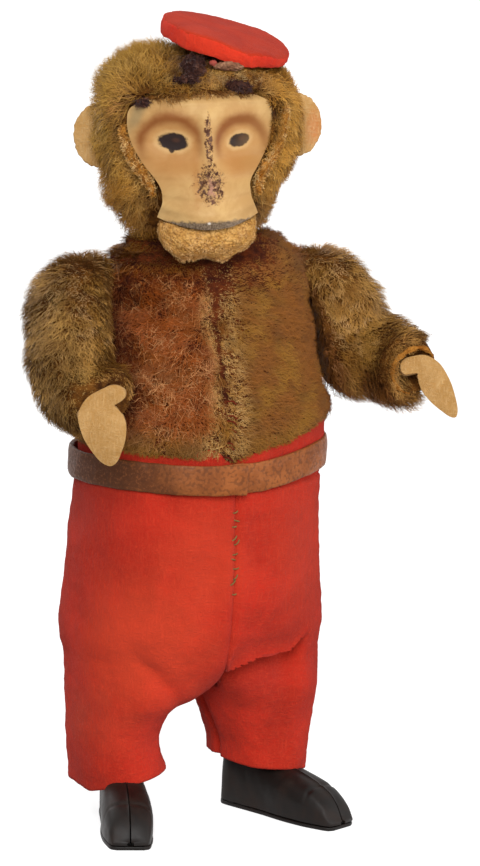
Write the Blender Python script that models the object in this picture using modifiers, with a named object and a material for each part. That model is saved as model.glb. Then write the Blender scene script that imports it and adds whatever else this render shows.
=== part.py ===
"""Clockwork dancing monkey, about 190 mm tall.

A tin body carries a spring motor with its winding key on the back.  The motor turns a crankshaft,
and two cranks shuffle the tin legs to and fro inside felt trousers.  The head turns on a neck pin
and each arm swings on a shoulder pin.  Units are metres, +Z is up and the monkey faces -Y.
"""
import math

import bmesh
import bpy
from mathutils import Matrix, Vector

MM = 0.001
GAP = 0.3 * MM                # clearance between neighbouring pieces
ROUND = 28                    # sides of the torso's rings
REACH = 60 * MM               # cutting tools run this far past an axis

# Torso
MOHAIR = 2.0 * MM             # backing cloth and pile
TIN = 0.5 * MM
TORSO_WIDTH = 32.2 * MM       # mohair half width just over the belt
TORSO_DEPTH = 26.9 * MM
TORSO_TOP = 140.3 * MM
NECK_A = 11.5 * MM            # half width of the torso's neck opening
TIN_BOTTOM = 74.0 * MM        # lower edge of the tin body
ARM_SLOPE = math.radians(11)  # the torso's sides lean in by this much under the arms

# Waist, belt and trousers
WAIST_A = TORSO_WIDTH - 4.6 * MM   # tin body half width at the waist, drawn in under the mohair
WAIST_B = TORSO_DEPTH - 4.3 * MM   # tin body half depth at the waist
FELT = 1.7 * MM               # trouser felt
BELT_BOTTOM = 83.7 * MM
BELT_HEIGHT = 6.7 * MM
BELT_THICK = 1.1 * MM
BELT_LAP = 9.0 * MM           # overlap of the belt's two ends
BELT_START = 0.10             # the lap begins this many radians past the front
WAISTBAND_RISE = 3.0 * MM     # trousers standing up above the belt
SEAT_HEIGHT = 58.0 * MM       # widest place of the seat
SEAT_A = 32.0 * MM
SEAT_B = 26.0 * MM
SEAT_SPLIT = 27.0 * MM        # radius about the hip axis where the seat ends and the legs begin
SEAT_BELOW = 3.0 * MM         # the seat's last ring lies this far under that radius
CROTCH_PINCH = 0.72           # how far the seat is drawn in between the legs at its lower edge
TROUSER_HEM_X = 18.4 * MM     # middle of a trouser leg at the hem
TROUSER_HEM_Y = -0.5 * MM
TROUSER_HEM_A = 11.8 * MM
TROUSER_HEM_B = 12.6 * MM
TROUSER_TOP_X = 16.4 * MM
TROUSER_TOP_A = 15.6 * MM
TROUSER_TOP_B = 24.0 * MM
TROUSER_TOP_Z = 47.0 * MM
HEM_OUTSIDE = 9.8 * MM        # height of the hem on the outer side of a leg
HEM_INSIDE = 15.0 * MM        # height of the hem between the legs

# Legs and shoes
HIP_Z = 58.0 * MM
HIP_AXLE_R = 1.5 * MM
LEG_X = 14.6 * MM             # inner face of a leg strip
LEG_THICK = 1.4 * MM
LEG_WIDTH = 7.0 * MM
AXLE_HEAD_R = 2.5 * MM
AXLE_HEAD = 1.2 * MM          # thickness of the hip axle's heads
HEEL_X = 11.6 * MM            # where the middle line of each shoe starts
HEEL_Y = 2.4 * MM
TOE_OUT = math.radians(24)
SHOE_LENGTH = 34.5 * MM
SHOE_HEEL_W = 5.0 * MM        # half widths
SHOE_BALL_W = 6.0 * MM
SHOE_TOE_W = 4.7 * MM
SHOE_ANKLE_H = 14.4 * MM
SHOE_INSTEP_H = 13.8 * MM
SHOE_TOE_H = 7.4 * MM
SHOE_WALL = 0.8 * MM
ANKLE_SHARE = 0.3             # the shoe is open on top as far as this share of its length
SOLE_THICK = 0.9 * MM
SOLE_RIM = 0.5 * MM           # the sole plate stands out this far

# Head
HEAD_Z = 141.2 * MM           # lower edge of the head above the floor
HEAD_PIVOT_Z = 136.0 * MM
HEAD_YAW = math.radians(-16)  # the head looks towards the monkey's right
HEAD_TILT = math.radians(-4.5)
HEAD_A = 24.4 * MM            # half width over the mohair
HEAD_B = 22.6 * MM
HEAD_HEIGHT = 43.4 * MM
FACE_TIN = 0.6 * MM
FACE_HALF = 17.2 * MM         # half width of the tin face at the brow
FACE_MARGIN = 0.8 * MM        # the mohair stops this far outside the tin face
FACE_BACK = 2.4 * (FACE_TIN + GAP)   # room behind the tin face, measured straight back
MUZZLE_HALF = 12.6 * MM
FACE_TOP = 34.0 * MM          # heights over the head's lower edge
MOUTH_Z = 5.6 * MM
EYE_Z = 23.0 * MM
EYE_X = 8.2 * MM
EYE_HALF_W = 6.0 * MM         # the hollow round each eye
EYE_HALF_H = 5.4 * MM
EYE_DEPTH = 2.3 * MM
RIDGE_HALF = 1.9 * MM         # the ridge from brow to nose
RIDGE_RISE = 0.9 * MM
NOSE_HALF = 3.6 * MM
NOSE_RISE = 1.1 * MM
MOUTH_SAG = 1.7 * MM          # the mouth hangs down this far in the middle
BROW_ARCH = 1.2 * MM          # the brow falls this far at its ends
NECK_PIN_R = 1.6 * MM
NECK_PIN_TOP = 24.0 * MM      # above the head's pivot
NECK_HOLE = NECK_PIN_R + 0.6 * MM
NECK_FLANGE_R = 4.0 * MM
CHIN_DROP = 4.6 * MM          # the chin hangs this far below the head's lower edge
EAR_HEIGHT = 15.0 * MM
EAR_WIDTH = 9.5 * MM
EAR_THICK = 1.6 * MM
EAR_Z = 24.0 * MM
CAP_R = 15.3 * MM
CAP_H = 3.2 * MM
CAP_FELT = 1.2 * MM
CAP_ROLL = math.radians(18)
CAP_PITCH = math.radians(8)
CAP_X = 3.8 * MM              # the cap sits to the monkey's left of the crown
CAP_Y = -1.0 * MM
CAP_Z = 45.0 * MM
EAR_LEAN = math.radians(6)

# Arms
SHOULDER_X = 0.77 * TORSO_WIDTH + 2.2 * MM   # just outside the torso's side at that height
SHOULDER_Z = 128.0 * MM
SHOULDER_PIN_R = 1.1 * MM
SHOULDER_PIN_IN = 6.2 * MM    # from the torso's side to the pin's head inside
SHOULDER_PIN_OUT = 9.0 * MM   # how far the pin runs into the arm
PIN_HEAD_R = 2.4 * MM
ARM_SLIT = 2 * GAP            # between an arm and the torso's side
# Middle lines from the shoulder to the cuff.  Each row: millimetres out from the shoulder pin's
# middle, back and up, then half the arm's thickness across and half its depth
RIGHT_ARM = [(8.2, -4.0, 126.5, 8.2, 11.0), (10.2, -8.0, 117.5, 9.0, 12.0), (11.4, -11.5, 109.0, 9.2, 12.0),
             (11.4, -15.0, 103.5, 9.0, 11.2), (9.0, -19.0, 101.2, 8.4, 9.4), (6.0, -24.0, 101.0, 7.4, 7.4)]
LEFT_ARM = [(7.2, -1.0, 127.5, 7.2, 9.6), (9.9, -1.5, 122.5, 7.8, 10.2), (13.6, -4.0, 117.3, 8.0, 10.0),
            (16.4, -9.0, 113.2, 7.8, 9.2), (17.6, -15.5, 111.3, 7.2, 8.0), (18.6, -22.5, 109.9, 6.4, 6.6)]
HAND_LENGTH = 17.0 * MM
HAND_WIDTH = 9.0 * MM
HAND_THICK = 1.8 * MM
# Where the hand starts inside the cuff, measured as the arms are, and the way its fingers point
RIGHT_HAND = ((8.0, -22.0, 106.0), (-0.09, -0.45, -0.88))
LEFT_HAND = ((16.2, -20.6, 110.0), (0.61, -0.52, -0.61))
HAND_FACING = Vector((-0.42, -0.89, 0.17))   # the backs of the hands face this way

# Clockwork
PLATE_Y = 8.2 * MM            # middle of the motor plates, before and behind the axis
PLATE_THICK = 0.8 * MM
PLATE_HALF = 13.5 * MM
PLATE_BOTTOM = 68.0 * MM
PLATE_TOP = 125.0 * MM
PILLAR_R = 1.3 * MM
PILLAR_INSET = 2.2 * MM
WIND_Z = 110.0 * MM           # winding arbor
ARBOR_R = 1.8 * MM
FINE_ARBOR_R = 0.9 * MM
GREAT_TEETH = 44
GREAT_MODULE = 0.6 * MM
FIRST_PINION_TEETH = 10
SECOND_TEETH = 40
FINE_MODULE = 0.5 * MM
SECOND_PINION_TEETH = 8
CROWN_TEETH = 24
CROWN_TOOTH_H = 1.0 * MM
CROWN_RIM_OUT = 0.5 * MM      # the toothed rim runs this far out from the pitch circle
CROWN_RIM_IN = 0.6 * MM       # and this far in
CROWN_DISC = 1.0 * MM
# One tooth of the crown wheel: share of a step along the rim, share of the tooth's height
CROWN_SHARES = ((-0.30, 0.15), (-0.11, 0.84), (0.11, 0.84), (0.30, 0.15))
GEAR_SLACK = 0.1 * MM         # between the crown wheel's teeth and its pinion's roots
GEAR_THICK = 1.2 * MM
RATCHET_TEETH = 12
RATCHET_R = 5.4 * MM
RATCHET_TOOTH = 1.0 * MM
RATCHET_PHASE = 0.0
CLICK_RADIUS = 9.6 * MM       # the click's stud, out from the arbor
CLICK_LEAD = math.radians(50)
CLICK_EYE = 1.7 * MM
CLICK_STUD_R = 0.7 * MM
CLICK_SPRING = 0.35 * MM
SPRING_R = 12.6 * MM
SPRING_TURNS = 4.5
SPRING_STRIP = 0.45 * MM
SPRING_WIDTH = 5.4 * MM
CRANK_R = 2.3 * MM
CRANK_DISC_R = 4.0 * MM
CRANK_PIN_R = 0.8 * MM
CHEEK_X = 10.6 * MM           # inner face of the leg bracket's cheeks
CHEEK_THICK = 0.9 * MM
CHEEK_BACK = 4.2 * MM         # the cheeks run this far behind the crankshaft
BRIDGE_HALF = 5.0 * MM        # the strip that carries the motor inside the tin body
BRIDGE_THICK = 1.0 * MM
KEY_SHAFT_R = 2.9 * MM
KEY_SLEEVE = 8.0 * MM
KEY_WING_W = 21.0 * MM
KEY_WING_H = 14.0 * MM
KEY_WING_THICK = 1.5 * MM
KEY_CLEAR = 2.0 * MM          # from the mohair to the key's collar

# Places that follow from the sizes above
CLICK_X = CLICK_RADIUS * math.cos(CLICK_LEAD + RATCHET_PHASE)
CLICK_Z = CLICK_RADIUS * math.sin(CLICK_LEAD + RATCHET_PHASE)
FIRST_DISTANCE = (GREAT_TEETH + FIRST_PINION_TEETH) * GREAT_MODULE / 2
SECOND_DISTANCE = (SECOND_TEETH + SECOND_PINION_TEETH) * FINE_MODULE / 2
SECOND_Z = WIND_Z - FIRST_DISTANCE
CRANK_Z = SECOND_Z - SECOND_DISTANCE
CROWN_R = CROWN_TEETH * FINE_MODULE / 2
CROWN_FACE_Y = GEAR_THICK / 2
CRANK_Y = CROWN_FACE_Y - CROWN_TOOTH_H / 2 - SECOND_PINION_TEETH * FINE_MODULE / 2 - GEAR_SLACK
HIP_Y = CRANK_Y               # the cranks stand right over the hips

PARTS = None
CUTTERS = None


def clear_scene():
    """Start from an empty scene with one collection for the pieces and one for the cutters."""
    global PARTS, CUTTERS
    for item in list(bpy.data.objects):
        bpy.data.objects.remove(item, do_unlink=True)
    PARTS = bpy.data.collections.new("dancing_monkey")
    CUTTERS = bpy.data.collections.new("cutters")
    bpy.context.scene.collection.children.link(PARTS)
    bpy.context.scene.collection.children.link(CUTTERS)


def material(name, colour, roughness, metallic=0.0):
    """A plain finish for the CAD view."""
    made = bpy.data.materials.new(name)
    made.use_nodes = True
    shader = made.node_tree.nodes["Principled BSDF"]
    shader.inputs["Base Color"].default_value = (*colour, 1.0)
    shader.inputs["Roughness"].default_value = roughness
    shader.inputs["Metallic"].default_value = metallic
    made.diffuse_color = (*colour, 1.0)
    return made


def empty(name, location, parent, rotation=None):
    """A pivot that carries pieces."""
    item = bpy.data.objects.new(name, None)
    PARTS.objects.link(item)
    item.parent = parent
    item.location = location
    if rotation is not None:
        item.rotation_euler = rotation
    return item


def piece(name, bm, finish, parent, matrix=None, smooth=True):
    """Make an object from a bmesh under its parent; matrix places it there."""
    mesh = bpy.data.meshes.new(name)
    bmesh.ops.recalc_face_normals(bm, faces=bm.faces)
    bm.to_mesh(mesh)
    bm.free()
    if smooth:
        mesh.shade_smooth()
        mesh.set_sharp_from_angle(angle=math.radians(40))
    item = bpy.data.objects.new(name, mesh)
    PARTS.objects.link(item)
    item.data.materials.append(finish)
    item.parent = parent
    if matrix is not None:
        item.matrix_local = matrix
    return item


def cutter(bm, parent, matrix=None):
    """A hidden tool body for a Boolean."""
    item = piece("cutter_%02d" % len(CUTTERS.objects), bm, DARK, parent, matrix, smooth=False)
    PARTS.objects.unlink(item)
    CUTTERS.objects.link(item)
    item.hide_render = True
    item.display_type = "WIRE"
    return item


def boolean(item, tool, operation="DIFFERENCE"):
    """Cut, join or trim a piece with a tool body."""
    step = item.modifiers.new(operation.lower(), "BOOLEAN")
    step.operation = operation
    step.object = tool
    step.solver = "EXACT"


def solidify(item, thickness):
    """Give an open surface a wall on its inner side."""
    step = item.modifiers.new("wall", "SOLIDIFY")
    step.thickness = thickness
    step.offset = -1.0
    step.use_even_offset = True


def loft(rings, caps=True):
    """Join closed rings of points into a skin, with flat ends if caps is set."""
    bm = bmesh.new()
    rows = [[bm.verts.new(point) for point in ring] for ring in rings]
    count = len(rows[0])
    for lower, upper in zip(rows, rows[1:]):
        for i in range(count):
            j = (i + 1) % count
            bm.faces.new((lower[i], lower[j], upper[j], upper[i]))
    if caps:
        bm.faces.new(list(reversed(rows[0])))
        bm.faces.new(rows[-1])
    return bm


def oval(a, b, z, count=32, x=0.0, y=0.0, power=2.0, pinch=0.0):
    """A closed oval ring; pinch draws its front and back together at the middle."""
    ring = []
    for i in range(count):
        turn = math.tau * (i + 0.5) / count
        cosine, sine = math.cos(turn), math.sin(turn)
        px = a * math.copysign(abs(cosine) ** (2 / power), cosine)
        py = b * math.copysign(abs(sine) ** (2 / power), sine)
        py *= 1 - pinch * math.exp(-(px / (0.32 * a)) ** 2)
        ring.append(Vector((x + px, y + py, z)))
    return ring


def rod(radius, start, end, sides=16, tip=None):
    """A round bar between two points, tapering to tip if that is given."""
    bm = bmesh.new()
    axis = Vector(end) - Vector(start)
    bmesh.ops.create_cone(bm, cap_ends=True, segments=sides, radius1=radius,
                          radius2=radius if tip is None else tip, depth=axis.length)
    turn = Vector((0, 0, 1)).rotation_difference(axis).to_matrix().to_4x4()
    move = Matrix.Translation((Vector(start) + Vector(end)) / 2)
    bmesh.ops.transform(bm, matrix=move @ turn, verts=bm.verts)
    return bm


def box(low, high):
    """A square block between two corners."""
    bm = bmesh.new()
    bmesh.ops.create_cube(bm, size=1.0)
    size = Vector(high) - Vector(low)
    bmesh.ops.transform(bm, matrix=Matrix.Translation((Vector(low) + Vector(high)) / 2)
                        @ Matrix.Diagonal((*size, 1.0)), verts=bm.verts)
    return bm


def plate(outline, low, high, axis="Y"):
    """A flat outline of (u, v) points given thickness from low to high along an axis.

    Along Y the outline is read as (x, z), along X as (y, z) and along Z as (x, y).
    """
    def place(u, v, w):
        return {"X": (w, u, v), "Y": (u, w, v), "Z": (u, v, w)}[axis]
    return loft([[Vector(place(u, v, low)) for u, v in outline],
                 [Vector(place(u, v, high)) for u, v in outline]])


def arc(radius, start, end, steps, u=0.0, v=0.0):
    """Points along an arc, angles in radians."""
    return [(u + radius * math.cos(start + (end - start) * i / steps),
             v + radius * math.sin(start + (end - start) * i / steps)) for i in range(steps + 1)]


def gear_outline(teeth, module, u=0.0, v=0.0, phase=0.0):
    """Pointed clock teeth: two points at each root and two at each tip."""
    pitch = teeth * module / 2
    root, tip = pitch - 0.62 * module, pitch + 0.42 * module
    points = []
    for i in range(teeth):
        middle = phase + math.tau * i / teeth
        step = math.tau / teeth
        for offset, radius in ((-0.31, root), (-0.11, tip), (0.11, tip), (0.31, root)):
            points.append((u + radius * math.cos(middle + offset * step),
                           v + radius * math.sin(middle + offset * step)))
    return points


# The torso's outer shape: height over the floor and share of its full width
TORSO_SHAPE = [(91.0, 0.995), (97.0, 1.0), (106.0, 0.965), (118.0, 0.89), (127.0, 0.79),
               (134.0, 0.65), (138.4, 0.50)]
COVER_BOTTOM = BELT_BOTTOM + BELT_HEIGHT + GAP
TIN_INSET = MOHAIR + 1.5 * GAP


def inset_profile(points, inset):
    """Move a profile of (radius, height) points, listed upwards, inwards by inset."""
    moved = []
    for i, (radius, height) in enumerate(points):
        before, after = points[max(i - 1, 0)], points[min(i + 1, len(points) - 1)]
        run, rise = after[0] - before[0], after[1] - before[1]
        length = math.hypot(run, rise)
        moved.append((inset * rise / length, height + inset * run / length))
    return moved


def torso_rings(inset, bottom):
    """Rings of the torso's outer surface, moved in by inset, from bottom to the neck."""
    profile = [(TORSO_WIDTH * share, max(height * MM, bottom)) for height, share in TORSO_SHAPE]
    profile.append((NECK_A, TORSO_TOP))
    shares = [share for height, share in TORSO_SHAPE] + [NECK_A / TORSO_WIDTH]
    rings = []
    for share, (step_in, z) in zip(shares, inset_profile(profile, inset)):
        rings.append(oval(TORSO_WIDTH * share - step_in, TORSO_DEPTH * share - step_in, z, ROUND))
    return rings


def shoulder(side):
    """Where an arm's pin leaves the torso, and the way it points."""
    return (Vector((side * SHOULDER_X, 0, SHOULDER_Z)),
            Vector((side * math.cos(ARM_SLOPE), 0, math.sin(ARM_SLOPE))))


def build_torso(root):
    """The tin body and the mohair that covers it above the waist."""
    cover = piece("torso_cover", loft(torso_rings(0.0, COVER_BOTTOM), caps=False), MOHAIR_FINISH, root)
    solidify(cover, MOHAIR)
    rings = [oval(WAIST_A, WAIST_B, TIN_BOTTOM, count=ROUND)]
    waistband_top = BELT_BOTTOM + BELT_HEIGHT + WAISTBAND_RISE
    rings.append(oval(WAIST_A, WAIST_B, waistband_top + GAP, count=ROUND))
    rings += torso_rings(TIN_INSET, COVER_BOTTOM)[1:-1]
    rings.append(oval(NECK_HOLE, NECK_HOLE, TORSO_TOP - TIN_INSET, count=ROUND))
    body = piece("tin_body", loft(rings, caps=False), TIN_FINISH, root)
    solidify(body, TIN)
    key_hole = cutter(rod(KEY_SHAFT_R + GAP, (0, PLATE_Y + PILLAR_INSET, WIND_Z), (0, REACH, WIND_Z)), root)
    boolean(cover, key_hole)
    boolean(body, key_hole)
    for side in (-1, 1):
        centre, along = shoulder(side)
        hole = cutter(rod(SHOULDER_PIN_R + GAP, centre - along * SHOULDER_PIN_OUT,
                          centre + along * SHOULDER_PIN_OUT), root)
        boolean(cover, hole)
        boolean(body, hole)


def turned(profile, origin, axis, sides=16):
    """A round solid: (distance along the axis, radius) pairs from one end to the other."""
    axis = Vector(axis).normalized()
    turn = Vector((0, 0, 1)).rotation_difference(axis).to_matrix()
    rings = []
    for distance, radius in profile:
        ring = [turn @ Vector((radius * math.cos(math.tau * i / sides),
                               radius * math.sin(math.tau * i / sides), distance)) for i in range(sides)]
        rings.append([Vector(origin) + point for point in ring])
    return loft(rings)


def from_hip():
    """From the hip pivot back to the body's own axes."""
    return Matrix.Translation((0, -HIP_Y, -HIP_Z))


def trouser_front(z):
    """Half width, half depth and pinch of the trouser seat at a height."""
    waist_a, waist_b = WAIST_A + GAP + FELT, WAIST_B + GAP + FELT
    if z >= BELT_BOTTOM - 1 * MM:
        return waist_a, waist_b, 0.0
    fall = min((BELT_BOTTOM - z) / (BELT_BOTTOM - SEAT_HEIGHT), 1.0)
    swell = math.sin(fall * math.pi / 2) ** 0.8
    a = waist_a + (SEAT_A - waist_a) * swell
    b = waist_b + (SEAT_B - waist_b) * swell
    drop = max(SEAT_HEIGHT - z, 0.0) / (SEAT_HEIGHT - (HIP_Z - SEAT_SPLIT))
    return a - 1.0 * MM * drop, b - 4.5 * MM * drop ** 1.6, CROTCH_PINCH * min(drop, 1.0) ** 1.5


def hip_bar(radius, sides):
    """A bar along the hip axis, wide enough to pass through both legs."""
    return turned([(-REACH, radius), (REACH, radius)], (0, HIP_Y, HIP_Z), (1, 0, 0), sides)


def build_trousers(root, right_leg, left_leg):
    """The trouser seat on the body and one trouser leg on each swinging leg."""
    foot = HIP_Z - SEAT_SPLIT - SEAT_BELOW
    heights = [BELT_BOTTOM + BELT_HEIGHT + WAISTBAND_RISE]
    heights += [BELT_BOTTOM + (SEAT_HEIGHT - BELT_BOTTOM) * share for share in (0.0, 0.22, 0.57, 1.0)]
    heights += [SEAT_HEIGHT + (foot - SEAT_HEIGHT) * share for share in (0.33, 0.6, 1.0)]
    rings = []
    for z in heights:
        a, b, pinch = trouser_front(z)
        power = 2.0 if z > BELT_BOTTOM - 1 * MM else 2.15
        rings.append(oval(a, b, z, count=ROUND, pinch=pinch, power=power))
    seat = piece("trouser_seat", loft(rings, caps=False), RED_FELT, root)
    solidify(seat, FELT)
    below = ([(-REACH, HIP_Z)] + arc(SEAT_SPLIT, -math.pi, 0, 30, HIP_Y, HIP_Z)
             + [(REACH, HIP_Z), (REACH, -SHOE_LENGTH), (-REACH, -SHOE_LENGTH)])
    boolean(seat, cutter(plate(below, -REACH, REACH, "X"), root))

    for side, name, pivot in ((-1, "right", right_leg), (1, "left", left_leg)):
        rings = []
        for share in (0.0, 0.14, 0.34, 0.62, 1.0):
            z = HEM_OUTSIDE + (TROUSER_TOP_Z - HEM_OUTSIDE) * share
            ease = share ** 1.35
            x = TROUSER_HEM_X + (TROUSER_TOP_X - TROUSER_HEM_X) * ease
            a = TROUSER_HEM_A + (TROUSER_TOP_A - TROUSER_HEM_A) * ease
            b = TROUSER_HEM_B + (TROUSER_TOP_B - TROUSER_HEM_B) * ease
            y = TROUSER_HEM_Y * (1 - ease)
            ring = oval(a, b, z, count=24, x=side * x, y=y, power=2.3)
            for point in ring:
                inward = (x + a - abs(point.x)) / (2 * a)
                point.z += (HEM_INSIDE - HEM_OUTSIDE) * inward ** 1.5 * (1 - share) ** 4
            rings.append(ring)
        leg = piece(name + "_trouser_leg", loft(rings, caps=False), RED_FELT, pivot,
                    from_hip())
        solidify(leg, FELT)
        boolean(leg, cutter(hip_bar(SEAT_SPLIT + GAP, 60), root))
        boolean(leg, cutter(shoe_body(GAP), pivot, shoe_place(side)))


def build_belt(root):
    """A strip wound once round the waist, its outer end lapped over the other at the front."""
    inner_a = WAIST_A + FELT + 2 * GAP
    inner_b = WAIST_B + FELT + 2 * GAP
    lap = BELT_LAP / inner_b
    start = -math.pi / 2 + BELT_START
    steps = 48
    inner, outer = [], []
    for i in range(steps + 1):
        turn = start - lap + (math.tau + lap) * i / steps
        rise = min(max((turn - (start + math.tau - 2.2 * lap)) / lap, 0.0), 1.0)
        lift = (BELT_THICK + GAP) * rise * rise * (3 - 2 * rise)
        for row, extra in ((inner, lift), (outer, lift + BELT_THICK)):
            row.append(((inner_a + extra) * math.cos(turn), (inner_b + extra) * math.sin(turn)))
    outline = outer + list(reversed(inner))
    strap = plate(outline, BELT_BOTTOM, BELT_BOTTOM + BELT_HEIGHT, "Z")
    piece("belt", strap, BELT_FINISH, root, smooth=False)


def shoe_stations():
    """Along the shoe from heel to toe: distance, half width, height."""
    shares = [(0.0, 0.62 * SHOE_HEEL_W, 0.97 * SHOE_ANKLE_H), (0.045, 0.93 * SHOE_HEEL_W, SHOE_ANKLE_H),
              (0.14, SHOE_HEEL_W, SHOE_ANKLE_H), (0.42, 1.06 * SHOE_HEEL_W, SHOE_INSTEP_H),
              (0.62, SHOE_BALL_W, 0.84 * SHOE_INSTEP_H), (0.78, 0.98 * SHOE_BALL_W, 0.68 * SHOE_INSTEP_H),
              (0.9, 1.08 * SHOE_TOE_W, SHOE_TOE_H), (0.957, SHOE_TOE_W, 0.66 * SHOE_TOE_H),
              (1.0, 0.84 * SHOE_TOE_W, 0.32 * SHOE_TOE_H)]
    return [(share * SHOE_LENGTH, half, height) for share, half, height in shares]


def shoe_section(half, height, floor, middle):
    """Right-hand side of a section across the shoe, from the floor up to its middle line."""
    tall = height - floor
    return [(middle, floor), (half, floor), (half, floor + 0.34 * tall), (half * 0.96, floor + 0.62 * tall),
            (half * 0.80, floor + 0.86 * tall), (half * 0.45, floor + 0.98 * tall), (middle, height)]


def shoe_side(stations, floor, middle, side):
    """One half of the shoe as a solid, closed down its middle."""
    return loft([[Vector((side * x, -distance, z)) for x, z in shoe_section(half, height, floor, middle)]
                 for distance, half, height in stations])


def shoe_body(grow):
    """The whole shoe from side to side, grown, to clear the trousers from it."""
    rings = []
    for distance, half, height in shoe_stations():
        section = shoe_section(half + grow, height + grow, 0.0, 0.0)[1:]
        both = section + [(-x, z) for x, z in reversed(section[:-1])]
        rings.append([Vector((x, -distance, z)) for x, z in both])
    return loft(rings)


def shoe_place(side):
    """From a hip pivot to the heel of its shoe, toe turned out."""
    return (from_hip() @ Matrix.Translation((side * HEEL_X, HEEL_Y, 0))
            @ Matrix.Rotation(side * TOE_OUT, 4, "Z"))


def build_shoe(name, side, leg):
    """A shoe pressed in two halves, standing on a flat sole plate."""
    place = shoe_place(side)
    floor = SOLE_THICK + GAP
    hollow = []
    for distance, half, height in shoe_stations()[1:-1]:
        open_top = distance < ANKLE_SHARE * SHOE_LENGTH
        top = height + SHOE_WALL if open_top else height - SHOE_WALL
        hollow.append((distance, half - SHOE_WALL, top))
    for half_name, half_side in (("inner", -side), ("outer", side)):
        skin = shoe_side(shoe_stations(), floor, GAP / 2, half_side)
        half = piece("%s_shoe_%s_half" % (name, half_name), skin, SHOE_FINISH, leg, place)
        boolean(half, cutter(shoe_side(hollow, 0.0, -GAP, half_side), leg, place))
    edge = [(half + SOLE_RIM, distance) for distance, half, height in shoe_stations()]
    toe = SHOE_LENGTH + 2 * SOLE_RIM
    outline = ([(-half, -distance) for half, distance in edge]
               + [(-SHOE_TOE_W * 0.8, -toe), (SHOE_TOE_W * 0.8, -toe)]
               + [(half, -distance) for half, distance in reversed(edge)])
    piece(name + "_sole", plate(outline, 0.0, SOLE_THICK, "Z"), SHOE_FINISH, leg, place, smooth=False)


def build_leg(name, side, leg):
    """A tin strip that turns on the hip axle; its tail reaches up to the crank."""
    foot = HEEL_Y - 0.18 * SHOE_LENGTH
    floor = SOLE_THICK + GAP
    half = LEG_WIDTH / 2
    tail_top = CRANK_Z + CRANK_R + 3.2 * MM
    tail_foot = HIP_Z + 8 * MM
    eye = HIP_AXLE_R + 2.4 * MM
    slot = CRANK_PIN_R + GAP
    slot_foot = CRANK_Z - CRANK_R - 1.4 * MM
    wall = slot + 1.6 * MM
    knee = HIP_Z - 12 * MM
    outline = ([(foot + half * 0.8, floor), (HIP_Y + half * 0.9, knee)]
               + arc(eye, -0.9, 0.9, 6, HIP_Y, HIP_Z)
               + [(HIP_Y + wall, tail_foot), (HIP_Y + wall, tail_top), (HIP_Y + slot, tail_top),
                  (HIP_Y + slot, slot_foot), (HIP_Y - slot, slot_foot), (HIP_Y - slot, tail_top),
                  (HIP_Y - wall, tail_top), (HIP_Y - wall, tail_foot)]
               + arc(eye, math.pi - 0.9, math.pi + 0.9, 6, HIP_Y, HIP_Z)
               + [(HIP_Y - half * 0.9, knee), (foot - half * 0.8, floor)])
    inner, outer = side * LEG_X, side * (LEG_X + LEG_THICK)
    strip = piece(name + "_leg", plate(outline, inner, outer, "X"), STEEL, leg, from_hip(), smooth=False)
    boolean(strip, cutter(hip_bar(HIP_AXLE_R + GAP, 20), leg, from_hip()))


def wrap_loft(rings):
    """A skin round a closed loop of sections, like a tyre."""
    bm = bmesh.new()
    rows = [[bm.verts.new(point) for point in ring] for ring in rings]
    count = len(rows[0])
    for index, lower in enumerate(rows):
        upper = rows[(index + 1) % len(rows)]
        for i in range(count):
            j = (i + 1) % count
            bm.faces.new((lower[i], lower[j], upper[j], upper[i]))
    return bm


def bore(item, radius, parent, centre_x=0.0, centre_z=0.0, matrix=None):
    """A round hole along Y right through a piece."""
    tool = turned([(-REACH, radius), (REACH, radius)], (centre_x, 0, centre_z), (0, 1, 0), 16)
    boolean(item, cutter(tool, parent, matrix))


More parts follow.
